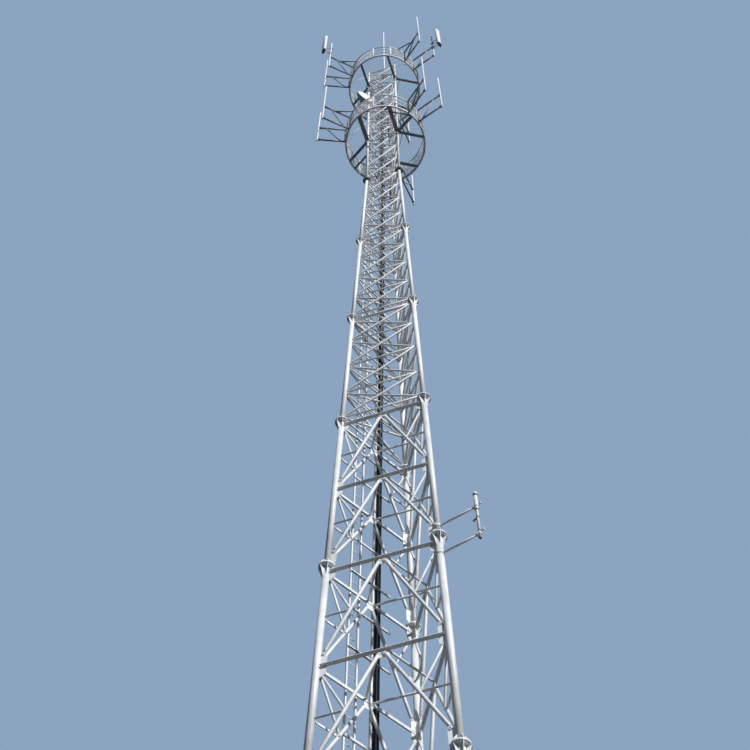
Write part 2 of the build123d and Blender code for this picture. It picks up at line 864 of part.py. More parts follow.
for name, level in platform_levels.items():
    save(f"{name}_deck_frame", deck_frame(level))
    save(f"{name}_guard_rail", *guard_rail(level))
    save(f"{name}_deck_mesh", deck_mesh(level))
    save(f"{name}_stays", *stays(level, stay_heights[name]))
    save(f"{name}_antenna_arms", *[antenna_arm(angle, level) for angle in arm_angles()])
    poles = zip(arm_angles(), pole_rises[name])
    save(f"{name}_antenna_poles", *[antenna_pole(angle, level, rise) for angle, rise in poles])

panels = list(zip(panel_antenna_angles, panel_antenna_lifts))
save("panel_antennas", *[panel_antenna(angle, lift) for angle, lift in panels])
save("panel_brackets", *[arm for angle, lift in panels for arm in panel_brackets(angle, lift)])
save("dish", dish())
save("dish_mount", dish_mount())
save("side_antenna", side_antenna())
save("side_antenna_arms", *[side_arm(height) for height in side_arm_heights])
save("step_pegs", *step_pegs())
save("top_frame", top_frame())
save("lightning_rod", lightning_rod())
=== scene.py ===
"""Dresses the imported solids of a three-legged tubular steel lattice tower."""

import math

import bpy
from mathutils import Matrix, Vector


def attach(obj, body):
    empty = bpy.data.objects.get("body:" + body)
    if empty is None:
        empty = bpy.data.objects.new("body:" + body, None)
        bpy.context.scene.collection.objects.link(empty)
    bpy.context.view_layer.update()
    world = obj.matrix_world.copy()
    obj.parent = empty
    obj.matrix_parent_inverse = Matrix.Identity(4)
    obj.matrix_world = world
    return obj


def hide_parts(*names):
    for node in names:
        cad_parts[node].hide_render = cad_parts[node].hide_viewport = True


bl_info = {
    "name": "Lattice Tower Pieces",
    "version": (1, 0, 0),
    "blender": (4, 5, 0),
    "location": "3D View > Sidebar > Lattice Tower",
    "description": "Builds the round tubes, plates, platforms and antennas of a lattice tower",
    "category": "Object",
}

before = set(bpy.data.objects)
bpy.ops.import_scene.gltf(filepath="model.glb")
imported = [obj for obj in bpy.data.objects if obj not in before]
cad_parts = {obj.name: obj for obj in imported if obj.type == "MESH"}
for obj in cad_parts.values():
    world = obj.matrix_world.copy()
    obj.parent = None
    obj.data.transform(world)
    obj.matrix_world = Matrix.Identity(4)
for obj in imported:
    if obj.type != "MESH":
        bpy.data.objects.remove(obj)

# Main form of the tower, in metres and degrees

UP = Vector((0, 0, 1))
AXIS = Vector((0.75, 0.4330127, 0.0))
SECTION = 2.5
K_SECTIONS = 5
X_SECTIONS = 3
TAPER_TOP = SECTION * (K_SECTIONS + X_SECTIONS)
TOWER_TOP = TAPER_TOP + 6.25
BASE_SPREAD = 1.5 / math.sqrt(3)
TOP_SPREAD = 0.527 / math.sqrt(3)
LEG_RADII = (0.040, 0.038, 0.035, 0.032, 0.030, 0.027, 0.024, 0.022, 0.020)
LEG_ANGLES = {"a": 210.0, "b": 330.0, "c": 90.0}
FACES = (("a", "b"), ("b", "c"), ("c", "a"))
NODE_DROP = 0.075
TUBE_SIDES = 14
PLATE = 0.005
GAP = 0.0003
PLATE_FACE = PLATE / 2 + GAP
EDGE = 0.001
SMALL_STEP = 0.001


def heading(angle):
    """Level direction at an angle."""
    turn = math.radians(angle)
    return Vector((math.cos(turn), math.sin(turn), 0))


def around(angle, radius, height):
    """Point at an angle and a distance from the tower's axis."""
    return AXIS + heading(angle) * radius + UP * height


def spread(height):
    """Distance of the legs from the tower's axis."""
    share = min(height / TAPER_TOP, 1.0)
    return BASE_SPREAD + (TOP_SPREAD - BASE_SPREAD) * share


def leg_point(leg, height):
    """Point on a leg's axis."""
    return around(LEG_ANGLES[leg], spread(height), height)


def leg_radius(height):
    """Radius of the leg tube at a height."""
    index = min(int(height / SECTION + 1e-6), len(LEG_RADII) - 1)
    return LEG_RADII[index]


def leg_points(leg, other, height):
    """Points on the axes of two legs."""
    return leg_point(leg, height), leg_point(other, height)


def leg_lean(leg, height):
    """Direction in which a leg rises."""
    return (leg_point(leg, height + SMALL_STEP) - leg_point(leg, height)).normalized()


def face_frame(leg, other, height):
    """Level, upward and outward directions of a face."""
    foot, far_foot = leg_points(leg, other, height)
    head, far_head = leg_points(leg, other, height + SMALL_STEP)
    across = (far_foot - foot).normalized()
    upward = ((head + far_head) / 2 - (foot + far_foot) / 2).normalized()
    return across, upward, across.cross(upward)


def is_front(normal):
    """True for the direction of the face towards the camera."""
    return normal.y < -0.9


def cross_pair(axis):
    """Two directions square to an axis and to each other."""
    helper = UP if abs(axis.z) < 0.9 else Vector((1, 0, 0))
    side = helper.cross(axis).normalized()
    return side, axis.cross(side)


def spokes(side, front, count):
    """Unit vectors round the circle that two directions span."""
    turns = [2 * math.pi * index / count for index in range(count)]
    return [side * math.cos(turn) + front * math.sin(turn) for turn in turns]


def trimmed(start, end, first, last):
    """End points of a bar after a length is cut off each end."""
    way = (end - start).normalized()
    return start + way * first, end - way * last


def chamfered(radius, length, edge=EDGE, rise=EDGE):
    """Profile of a round body that narrows by an edge over a rise at each end."""
    inner = radius - edge
    return [(inner, 0), (radius, rise), (radius, length - rise), (inner, length)]


class Shape:
    """Collects vertices and faces of one piece."""

    def __init__(self):
        self.points = []
        self.faces = []
        self.smooth = []

    def add(self, points, faces, smooth):
        """Adds one closed body, with one smooth value a face."""
        first = len(self.points)
        self.points += [tuple(point) for point in points]
        self.faces += [tuple(first + index for index in face) for face in faces]
        self.smooth += smooth

    def rings(self, rings, soft=None):
        """Body through outlines with one count of points, closed at both ends."""
        sides = len(rings[0])
        last = (len(rings) - 1) * sides
        faces = [tuple(reversed(range(sides)))]
        smooth = [False]
        for level in range(len(rings) - 1):
            low = level * sides
            high = low + sides
            for index in range(sides):
                after = (index + 1) % sides
                faces.append((low + index, low + after, high + after, high + index))
            smooth += [soft is None or soft[level]] * sides
        faces.append(tuple(range(last, last + sides)))
        smooth.append(False)
        self.add([point for ring in rings for point in ring], faces, smooth)

    def lathe(self, foot, axis, profile, sides=16, soft=None):
        """Body of revolution from (radius, distance) pairs along an axis."""
        axis = axis.normalized()
        ways = spokes(*cross_pair(axis), sides)
        rings = [
            [foot + axis * distance + way * radius for way in ways]
            for radius, distance in profile
        ]
        self.rings(rings, soft)

    def drum(self, foot, axis, radius, height, sides):
        """Straight round body that stands on a point."""
        self.lathe(foot, axis, [(radius, 0), (radius, height)], sides)

    def tube(self, start, end, radius, sides=TUBE_SIDES):
        """Round bar between two points."""
        run = end - start
        self.drum(start, run, radius, run.length, sides)

    def rod_path(self, points, radius, sides=8):
        """Round bar along several points."""
        rings = []
        side = None
        for index, point in enumerate(points):
            before = points[max(index - 1, 0)]
            after = points[min(index + 1, len(points) - 1)]
            way = (after - before).normalized()
            side = cross_pair(way)[0] if side is None else side
            side = (side - way * side.dot(way)).normalized()
            ways = spokes(side, way.cross(side), sides)
            rings.append([point + spoke * radius for spoke in ways])
        self.rings(rings)

    def loop(self, outline, soft, segments=96):
        """Closed outline of (distance, height) pairs, swept round the tower's axis."""
        points = []
        faces = []
        count = len(outline)
        for step in range(segments):
            angle = 360 * step / segments
            points += [around(angle, reach, height) for reach, height in outline]
            here = step * count
            there = (step + 1) % segments * count
            for index in range(count):
                after = (index + 1) % count
                faces.append((here + index, there + index, there + after, here + after))
        self.add(points, faces, soft * segments)

    def band(self, radius, height, wall, bottom):
        """Flat upright band bent into a ring."""
        top = bottom + height
        inner = radius - wall
        outline = [(radius, bottom), (radius, top), (inner, top), (inner, bottom)]
        self.loop(outline, [True, False, True, False])

    def prism(self, outline, depth):
        """Flat plate from corner points and a depth vector, centred on the corners."""
        half = depth / 2
        self.rings([[p - half for p in outline], [p + half for p in outline]], [False])

    def box(self, centre, along, across, up, size):
        """Box from its centre, three directions and three lengths."""
        x, y = along * size[0] / 2, across * size[1] / 2
        corners = [centre - x - y, centre + x - y, centre + x + y, centre - x + y]
        self.prism(corners, up * size[2])

    def beam(self, start, end, up, width, height):
        """Square bar between two points, with its height along up."""
        run = end - start
        way = run.normalized()
        up = (up - way * up.dot(way)).normalized()
        self.box(start + run / 2, way, up.cross(way), up, (run.length, width, height))

    def angle_bar(self, start, end, up, out, size, wall):
        """L-shaped bar with one flange along up and one along out, from its corner line."""
        run = end - start
        steps = ((0, 0), (size, 0), (size, wall), (wall, wall), (wall, size), (0, size))
        self.prism([start + out * x + up * y + run / 2 for x, y in steps], run)

    def bolt(self, seat, way, size):
        """Hexagon head with its washer, standing on a surface."""
        steps = ((1.15, 0), (1.15, 0.2), (1, 0.2), (1, 0.85), (0.8, 1))
        self.lathe(seat, way, [(size * x, size * y) for x, y in steps], 6, [False] * 4)

    def bolt_pair(self, middle, way, half, size):
        """Bolt head on one side of a joint and a nut on the other side."""
        way = way.normalized()
        self.bolt(middle + way * half, way, size)
        self.bolt(middle - way * half, -way, size)

    def ears(self, middle, across, way, reach, size, bolt, lifts=(0,)):
        """Two lugs, one on each side of a band, with bolts through them along way."""
        for aside in (-across, across):
            ear = middle + aside * reach
            self.box(ear, across, way, UP, size)
            for lift in lifts:
                self.bolt_pair(ear + UP * lift, way, size[1] / 2, bolt)


def piece(name, shape, finish, *nodes):
    """Makes a mesh object that rides on the tower and stands for CAD nodes."""
    mesh = bpy.data.meshes.new(name)
    mesh.from_pydata(shape.points, [], shape.faces)
    mesh.polygons.foreach_set("use_smooth", shape.smooth)
    mesh.validate()
    mesh.update()
    mesh.materials.append(material_of(finish))
    obj = bpy.data.objects.new(name, mesh)
    bpy.context.scene.collection.objects.link(obj)
    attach(obj, "root")
    if nodes:
        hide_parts(*nodes)


# Finishes

WHITE = (1.0, 1.0, 1.0)


class Nodes:
    """Short way to build a material from nodes."""

    def __init__(self, name):
        self.material = bpy.data.materials.get(name) or bpy.data.materials.new(name)
        self.material.use_nodes = True
        self.tree = self.material.node_tree
        self.tree.nodes.clear()
        self.shader = self.node("BsdfPrincipled")
        output = self.node("OutputMaterial")
        self.link(self.shader.outputs["BSDF"], output.inputs["Surface"])
        self.place = self.node("TexCoord").outputs["Object"]

    def node(self, kind, **values):
        """New node with values for inputs, whose names have _ for a space."""
        node = self.tree.nodes.new("ShaderNode" + kind)
        for name, value in values.items():
            node.inputs[name.replace("_", " ")].default_value = value
        return node

    def link(self, start, end):
        """Joins two sockets."""
        self.tree.links.new(start, end)

    def drive(self, name, value):
        """Joins a socket to one of the shader's inputs."""
        self.link(value, self.shader.inputs[name])

    def scaled(self, factors):
        """Object coordinates stretched by three factors."""
        mapping = self.node("Mapping", Scale=factors)
        self.link(self.place, mapping.inputs["Vector"])
        return mapping.outputs["Vector"]

    def noise(self, vector, scale, detail=4.0, roughness=0.55):
        """Noise value over a vector."""
        node = self.node("TexNoise", Scale=scale, Detail=detail, Roughness=roughness)
        self.link(vector, node.inputs["Vector"])
        return node.outputs["Fac"]

    def cells(self, vector, scale):
        """Grey of its own for each cell of a Voronoi pattern."""
        node = self.node("TexVoronoi", Scale=scale)
        self.link(vector, node.inputs["Vector"])
        parts = self.node("SeparateColor")
        self.link(node.outputs["Color"], parts.inputs["Color"])
        return parts.outputs["Red"]

    def ramp(self, value, low, dark, high, light):
        """Colour that goes from dark at a low value to light at a high one."""
        node = self.node("ValToRGB")
        stops = ((low, dark), (high, light))
        for element, (position, colour) in zip(node.color_ramp.elements, stops):
            element.position = position
            element.color = (*colour, 1.0)
        self.link(value, node.inputs["Fac"])
        return node.outputs["Color"]

    def mix(self, share, first, second, kind="MIX"):
        """Mixes two colour sockets by a share, which is a socket or a number."""
        node = self.node("Mix")
        node.data_type = "RGBA"
        node.blend_type = kind
        if isinstance(share, float):
            node.inputs[0].default_value = share
        else:
            self.link(share, node.inputs[0])
        self.link(first, node.inputs[6])
        self.link(second, node.inputs[7])
        return node.outputs[2]

    def roughness(self, value, low, high):
        """Roughness between two limits, from a value from 0 to 1."""
        node = self.node("MapRange", To_Min=low, To_Max=high)
        self.link(value, node.inputs["Value"])
        self.drive("Roughness", node.outputs["Result"])

    def bump(self, value, strength, distance):
        """Bump from a height value, on the shader's normal."""
        node = self.node("Bump", Strength=strength, Distance=distance)
        self.link(value, node.inputs["Height"])
        self.drive("Normal", node.outputs["Normal"])


def galvanised(name, dark, light, metallic=0.05, rough=0.50):
    """Zinc with a faint spangle, cloudy weathering and long darker streaks."""
    nodes = Nodes(name)
    clouds = nodes.noise(nodes.place, 5.0, 6.0, 0.6)
    streaks = nodes.noise(nodes.scaled((34.0, 34.0, 2.2)), 1.0, 3.0)
    spangle = nodes.cells(nodes.place, 190.0)
    base = nodes.ramp(clouds, 0.3, dark, 0.7, light)
    shade = nodes.ramp(streaks, 0.28, (0.80, 0.81, 0.83), 0.55, WHITE)
    grain = nodes.ramp(spangle, 0.0, (0.90, 0.91, 0.92), 1.0, WHITE)
    colour = nodes.mix(0.8, base, shade, "MULTIPLY")
    nodes.drive("Base Color", nodes.mix(0.7, colour, grain, "MULTIPLY"))
    nodes.shader.inputs["Metallic"].default_value = metallic
    nodes.shader.inputs["Specular IOR Level"].default_value = 0.4
    nodes.roughness(spangle, rough - 0.06, rough + 0.10)
    nodes.bump(nodes.noise(nodes.place, 260.0, 3.0), 0.16, 0.0006)
    return nodes.material


def cable_rubber(name):
    """Black cable jacket with a dusty bloom."""
    nodes = Nodes(name)
    dust = nodes.noise(nodes.scaled((60.0, 60.0, 3.0)), 1.0, 4.0)
    jacket = nodes.ramp(dust, 0.35, (0.004, 0.004, 0.005), 0.75, (0.012, 0.0125, 0.014))
    nodes.drive("Base Color", jacket)
    nodes.shader.inputs["Specular IOR Level"].default_value = 0.25
    nodes.roughness(dust, 0.5, 0.7)
    nodes.bump(nodes.noise(nodes.place, 420.0), 0.12, 0.0004)
    return nodes.material


def cover_plastic(name, dark, light):
    """Weathered antenna cover with a faint chalky bloom and upright rain marks."""
    nodes = Nodes(name)
    bloom = nodes.noise(nodes.place, 9.0, 5.0)
    rain = nodes.noise(nodes.scaled((46.0, 46.0, 1.6)), 1.0, 3.0)
    base = nodes.ramp(bloom, 0.3, dark, 0.7, light)
    marks = nodes.ramp(rain, 0.3, (0.86, 0.86, 0.85), 0.5, WHITE)
    nodes.drive("Base Color", nodes.mix(0.7, base, marks, "MULTIPLY"))
    nodes.roughness(bloom, 0.38, 0.55)
    nodes.bump(nodes.noise(nodes.place, 300.0), 0.08, 0.0004)
    return nodes.material


def shown_rays(tree):
    """Value of 1 for camera, glossy and transmission rays, which see the background."""
    rays = tree.nodes.new("ShaderNodeLightPath")
    total = rays.outputs["Is Camera Ray"]
    for kind in ("Is Glossy Ray", "Is Transmission Ray"):
        node = tree.nodes.new("ShaderNodeMath")
        node.operation = "MAXIMUM"
        tree.links.new(total, node.inputs[0])
        tree.links.new(rays.outputs[kind], node.inputs[1])
        total = node.outputs[0]
    return total


def studio_floor(name):
    """Pale matt floor with a faint mottle, which throws little light back up."""
    nodes = Nodes(name)
    mottle = nodes.noise(nodes.place, 0.6, 3.0)
    seen = nodes.ramp(mottle, 0.3, (0.66, 0.67, 0.68), 0.7, (0.72, 0.72, 0.73))
    unseen = nodes.ramp(mottle, 0.3, (0.020, 0.020, 0.020), 0.7, (0.026, 0.026, 0.026))
    nodes.drive("Base Color", nodes.mix(shown_rays(nodes.tree), unseen, seen))
    nodes.roughness(mottle, 0.75, 0.9)
    return nodes.material


MATERIALS = {}


def material_of(finish):
    """Material of a finish. All of them are made at the first call."""
    if not MATERIALS:
        tower = bpy.context.scene.tower
        bright, dull = (0.72, 0.73, 0.745), (0.20, 0.215, 0.235)
        # The second colour on the next line is painted shade for the dish's back.
        dark, shell = (0.07, 0.075, 0.083), (0.13, 0.135, 0.14)
        MATERIALS.update(
            steel=galvanised("galvanised_tube", tower.zinc_dark, tower.zinc_light),
            # Lighter copy of the zinc that paints sunlight onto the parts that take it.
            bright=galvanised("galvanised_painted_sunlit", bright, (0.86, 0.865, 0.87)),
            # Darker copy of the zinc that paints shade onto the parts that take it.
            dull=galvanised("galvanised_dull", dull, (0.32, 0.335, 0.36), 0.08, 0.58),
            dark=galvanised("dark_clamp", dark, (0.14, 0.146, 0.158), 0.25, 0.60),
            cable=cable_rubber("cable_jacket"),
            cover=cover_plastic("antenna_cover", (0.70, 0.705, 0.70), (0.82, 0.82, 0.81)),
            # Dish back: a dark tone that paints the shade its underside lies in.
            shell=cover_plastic("dish_shell", shell, (0.20, 0.205, 0.21)),
            cap=cover_plastic("antenna_cap", (0.055, 0.057, 0.06), (0.10, 0.103, 0.107)),
        )
    return MATERIALS[finish]


# Legs

LEG_SIDES = 28
SMALL_LEG = 0.0225
FLANGE_THICK = 0.0098
FLANGE_EDGE = 0.0012
FLANGE_SIDES = 40
LEG_CUT = 0.010
FIN_COUNT = 6
FIN_THICK = 0.0045
FIN_TIP = 0.012
FIN_SHARE_UP = 1.75
FIN_SHARE_DOWN = 2.9
FIN_SHARE_LOW = 0.7
FLANGE_BOLT = 0.0066
BOLT_STEPS = (0.3, 0.7)
BOLT_CIRCLE = 0.62
SHANK_RADIUS = 0.0034
SHANK_HEIGHT = 0.0135
FOOT_OVERHANG = 0.052
FOOT_THICK = 0.014


def leg_flange(shape, foot, lean, radius, overhang, sign, fin_share, thick=FLANGE_THICK):
    """Round flange with bolts and fins, which stand above it where sign is 1."""
    way = UP * sign
    profile = chamfered(radius + overhang, thick, FLANGE_EDGE, FLANGE_EDGE)
    shape.lathe(foot, way, profile, FLANGE_SIDES, [False, True, False])
    top = foot + way * thick
    shape.lathe(top, way, [(radius + 0.005, 0), (radius + 0.0015, 0.008)], LEG_SIDES)
    shift = lean * overhang * fin_share * sign
    for index in range(FIN_COUNT):
        for step in BOLT_STEPS:
            turned = heading(360 * (index + step) / FIN_COUNT)
            seat = top + turned * (radius + overhang * BOLT_CIRCLE)
            shape.bolt(seat, way, FLANGE_BOLT)
            shape.drum(seat, way, SHANK_RADIUS, SHANK_HEIGHT, 8)
        out = heading(360 * index / FIN_COUNT)
        inner = top + out * (radius - 0.001)
        tip = top + out * (radius + overhang * 0.94)
        corners = [inner, tip, tip + way * FIN_TIP, inner + shift + out * 0.006, inner + shift]
        shape.prism(corners, UP.cross(out) * FIN_THICK)


def leg_section(tubes, wide, leg, bottom, top, radius):
    """Round tube of one leg section with its flanges; those under the straight part are wide."""
    start, end = leg_point(leg, bottom), leg_point(leg, top)
    lean = end - start
    lean /= lean.z
    overhang = 0.043 if radius > SMALL_LEG else 0.034
    high = end - lean * LEG_CUT
    tubes.tube(start + lean * LEG_CUT, high, radius, LEG_SIDES)
    if bottom == 0:
        leg_flange(tubes, start, lean, radius, FOOT_OVERHANG, 1, FIN_SHARE_UP, FOOT_THICK)
    elif bottom == TAPER_TOP:
        leg_flange(wide, start, lean, radius, 0.044, 1, FIN_SHARE_LOW)
    else:
        leg_flange(tubes, start, lean, radius, overhang, 1, FIN_SHARE_UP)
    if top == TAPER_TOP:
        leg_flange(wide, end, lean, radius, 0.042, -1, FIN_SHARE_LOW)
    elif top < TOWER_TOP:
        leg_flange(tubes, end, lean, radius, overhang, -1, FIN_SHARE_DOWN)
    else:
        tubes.tube(high, end, radius, LEG_SIDES)


def build_legs():
    """Three leg tubes for each section, and the wide flanges under the straight part."""
    wide = Shape()
    for index, radius in enumerate(LEG_RADII):
        bottom = SECTION * index
        is_last = index == len(LEG_RADII) - 1
        top = TOWER_TOP if is_last else bottom + SECTION
        label = "top" if is_last else index + 1
        tubes = Shape()
        for leg in LEG_ANGLES:
            leg_section(tubes, wide, leg, bottom, top, radius)
        # The upper sections take the lighter zinc, which paints sunlight onto their legs.
        finish = "bright" if index >= K_SECTIONS else "steel"
        piece(f"leg_tubes_{label}", tubes, finish, f"leg_section_{label}")
    # The wide flanges take the darker zinc, which paints shade onto their undersides.
    piece("wide_flanges", wide, "dull")


# Bracing

LEVEL_WIDTH = 0.040
REAR_LEVEL_WIDTH = 0.032
LEVEL_WALL = 0.005
MAIN_WIDTH = 0.030
MAIN_RADIUS = 0.0155
BAR_GAP = 0.004
DIAGONAL_SEAT = 0.0093
SLIM_WIDTH = 0.022
SLIM_WALL = 0.003
SLIM_RADIUS = 0.0108
SMALL_BOLT = 0.0048
TONGUE_THICK = 0.006
MIDDLE_PLATE = 0.060
MIDDLE_PLATE_DEPTH = 0.088
MIDDLE_PLATE_RISE = 0.012
K_PLATE_REACH = 0.052
K_PLATE_END = 0.04
K_PLATE_RUN = 0.14
PANEL = 0.625
PANELS_A_SECTION = 4
PANELS_ON_TOP = 10
CROSS_RADIUS = 0.0126
CROSS_WIDTH = 0.024
CROSS_SEAT = 0.0128
CROSS_PLATE = 0.032
CROSS_PLATE_REACH = 0.028
STRUT_RADIUS = 0.0098
JOINT_STRUT_RADIUS = 0.0195
MAIN_TONGUE = 0.05
SLIM_TONGUE = 0.03
TONGUE_BOLTS = (0.28, 0.72)
LEVEL_BOLTS = (0.48, 1.12)
JOINT_LEVEL = 15.0 - NODE_DROP
PLAN_SHIFT = 0.034


def flat_end(shape, start, end, normal, radius, tongue):
    """Round tube with a flattened tongue and two bolts at each end."""
    way = (end - start).normalized()
    side = way.cross(normal).normalized() * radius * 0.9
    inner = tongue * 0.62
    length = (end - start).length - 2 * inner
    profile = chamfered(radius, length, radius * 0.45, radius * 1.1)
    shape.lathe(start + way * inner, way, profile, TUBE_SIDES)
    for foot, inward in ((start, way), (end, -way)):
        tip = foot + inward * (tongue + radius)
        shape.prism([foot - side, tip - side, tip + side, foot + side], normal * TONGUE_THICK)
        for share in TONGUE_BOLTS:
            spot = foot + inward * tongue * share
            shape.bolt_pair(spot, normal, TONGUE_THICK / 2, SMALL_BOLT)


def level_bar(shape, start, end, normal, size, wall):
    """Level angle bar, upright flange inside, with two bolts at each end.

    The flat flange is below on the front face and on top on the rear faces.
    """
    out = Vector((normal.x, normal.y, 0)).normalized()
    way = (end - start).normalized()
    up = UP if is_front(out) else -UP
    inner = -out * (PLATE / 2 + wall) - up * size * 0.35
    shape.angle_bar(start + inner, end + inner, up, out, size, wall)
    half = (PLATE + wall) / 2
    for foot, inward in ((start, way), (end, -way)):
        for share in LEVEL_BOLTS:
            shape.bolt_pair(foot + inward * size * share - out * half, out, half, SMALL_BOLT)


def clear_reach(leg, height, target, width, clearance):
    """Distance from a leg's axis at which a bar's end is clear of the leg's wall."""
    way = (target - leg_point(leg, height)).normalized()
    along = abs(way.dot(leg_lean(leg, height)))
    return (leg_radius(height) + clearance + width / 2 * along) / math.sqrt(1 - along * along)


def gusset(shape, leg, other, height, below, above, reach, normal):
    """Plate at a leg, in the plane of a face."""
    foot = leg_point(leg, height)
    along = leg_lean(leg, height)
    across = (leg_point(other, height) - foot).normalized()
    inner = foot + across * (leg_radius(height) - 0.001)
    outer = foot + across * (leg_radius(height) + reach)
    corners = [
        inner - along * below,
        outer - along * (below * 0.7),
        outer + along * (above * 0.7),
        inner + along * above,
    ]
    shape.prism(corners, normal * PLATE)


def k_section(tubes, plates, slim, leg, other, section):
    """One face of a section with K bracing: two panels."""
    base = section * SECTION
    low, high = base + NODE_DROP, base + SECTION - NODE_DROP
    mid = base + (SECTION - NODE_DROP) / 2
    across, upward, normal = face_frame(leg, other, mid)
    seat = normal * DIAGONAL_SEAT
    size = LEVEL_WIDTH if is_front(normal) else REAR_LEVEL_WIDTH
    wide, narrow = across * MIDDLE_PLATE, across * MIDDLE_PLATE * 0.62
    depth, rise = upward * MIDDLE_PLATE_DEPTH, upward * MIDDLE_PLATE_RISE
    for start, end in ((low, mid), (mid, high)):
        near_end, far_end = leg_points(leg, other, end)
        middle = (near_end + far_end) / 2
        reach = leg_radius(end) + BAR_GAP
        level_bar(tubes, *trimmed(near_end, far_end, reach, reach), normal, size, LEVEL_WALL)
        corners = [
            middle - narrow - depth,
            middle + narrow - depth,
            middle + wide + rise,
            middle - wide + rise,
        ]
        plates.prism(corners, normal * PLATE)
        for near in (leg, other):
            foot = leg_point(near, start)
            level = abs((foot - middle).normalized().dot(across))
            upright = math.sqrt(1 - level * level)
            under = (LEVEL_WIDTH / 2 + BAR_GAP + MAIN_WIDTH / 2 * level) / upright
            beside = (BAR_GAP / 2 + MAIN_WIDTH / 2 * upright) / level
            reach = clear_reach(near, start, middle, MAIN_WIDTH, BAR_GAP)
            ends = trimmed(middle + seat, foot + seat, max(under, beside), reach)
            flat_end(tubes, *ends, normal, MAIN_RADIUS, MAIN_TONGUE)
            redundants(slim, near, start, end, middle, normal)
    plate_runs = (
        (low, K_PLATE_END, K_PLATE_RUN),
        (mid, K_PLATE_RUN, K_PLATE_RUN),
        (high, K_PLATE_RUN, K_PLATE_END),
    )
    for near, far in ((leg, other), (other, leg)):
        for height, below, above in plate_runs:
            gusset(plates, near, far, height, below, above, K_PLATE_REACH, normal)


def redundants(slim, near, start, end, middle, normal):
    """Slim bars from the middle of a diagonal to the leg: one level, one slanting up."""
    halfway = (leg_point(near, start) + middle) / 2
    leg_mid = leg_point(near, halfway.z)
    outward = (leg_mid - halfway).normalized()
    level_end = leg_mid - outward * (leg_radius(halfway.z) + BAR_GAP / 2)
    level_bar(slim, halfway, level_end, normal, SLIM_WIDTH, SLIM_WALL)
    head = leg_point(near, end)
    reach = clear_reach(near, end, halfway, SLIM_WIDTH, BAR_GAP / 2)
    inward = normal * (PLATE_FACE + SLIM_RADIUS + 0.001) * -0.7
    ends = trimmed(halfway + inward, head + inward, 0, reach)
    flat_end(slim, *ends, normal, SLIM_RADIUS, SLIM_TONGUE)


def build_k_bracing():
    """Tubes, plates and slim bars of the lower sections."""
    for section in range(K_SECTIONS):
        tubes, plates, slim = Shape(), Shape(), Shape()
        for leg, other in FACES:
            k_section(tubes, plates, slim, leg, other, section)
        number = section + 1
        piece(f"k_tubes_{number}", tubes, "steel", f"k_bracing_{number}")
        piece(f"k_plates_{number}", plates, "bright")
        piece(f"k_slim_bars_{number}", slim, "steel")


def x_panels(tubes, plates, leg, other, bottom, count):
    """Crossed tubes of one face with a level bar at each panel point."""
    heights = [bottom + index * PANEL for index in range(count + 1)]
    heights[0] += NODE_DROP
    heights[-1] -= NODE_DROP
    normal = face_frame(leg, other, bottom + PANEL / 2)[2]
    pairs = ((leg, other), (other, leg))
    for low, high in zip(heights, heights[1:]):
        for (near, far), side in zip(pairs, (1, -1)):
            foot, head = leg_point(near, low), leg_point(far, high)
            seat = normal * side * CROSS_SEAT
            first = clear_reach(near, low, head, CROSS_WIDTH, 0)
            last = clear_reach(far, high, foot, CROSS_WIDTH, 0)
            ends = trimmed(foot + seat, head + seat, first, last)
            flat_end(tubes, *ends, normal, CROSS_RADIUS, SLIM_TONGUE)
    for height in heights:
        reach = leg_radius(height) + BAR_GAP / 2
        ends = trimmed(*leg_points(leg, other, height), reach, reach)
        is_joint = abs(height - JOINT_LEVEL) < SMALL_STEP
        tubes.tube(*ends, JOINT_STRUT_RADIUS if is_joint else STRUT_RADIUS)
        for near, far in pairs:
            sizes = CROSS_PLATE, CROSS_PLATE, CROSS_PLATE_REACH
            gusset(plates, near, far, height, *sizes, normal)


def build_x_bracing():
    """Crossed tubes of the upper sections and of the straight top part."""
    parts = [
        (SECTION * index, PANELS_A_SECTION, index + 1)
        for index in range(K_SECTIONS, K_SECTIONS + X_SECTIONS)
    ]
    parts.append((TAPER_TOP, PANELS_ON_TOP, "top"))
    for bottom, count, label in parts:
        tubes, plates = Shape(), Shape()
        for leg, other in FACES:
            x_panels(tubes, plates, leg, other, bottom, count)
        piece(f"x_tubes_{label}", tubes, "bright", f"cross_bracing_{label}")
        piece(f"x_plates_{label}", plates, "steel")


def plan_level(shape, height):
    """Three level tubes from the middle of one face to the next."""
    for (leg, corner), (_, last) in zip(FACES, FACES[1:] + FACES[:1]):
        tip = leg_point(corner, height)
        ends = []
        for far in (leg_point(leg, height), leg_point(last, height)):
            ends.append((far + tip) / 2 + (tip - far).normalized() * PLAN_SHIFT)
        flat_end(shape, *trimmed(*ends, 0.006, 0.006), UP, SLIM_RADIUS, SLIM_TONGUE)


def build_plan():
    """Level triangles inside the tower, two in each lower section."""
    shape = Shape()
    for section in range(K_SECTIONS):
        base = section * SECTION
        plan_level(shape, base + (SECTION - NODE_DROP) / 2)
        plan_level(shape, base + SECTION - NODE_DROP)
    piece("plan_tubes", shape, "steel", "plan_bracing")


# Ladder, rails and cables, in the frame of the rear left face

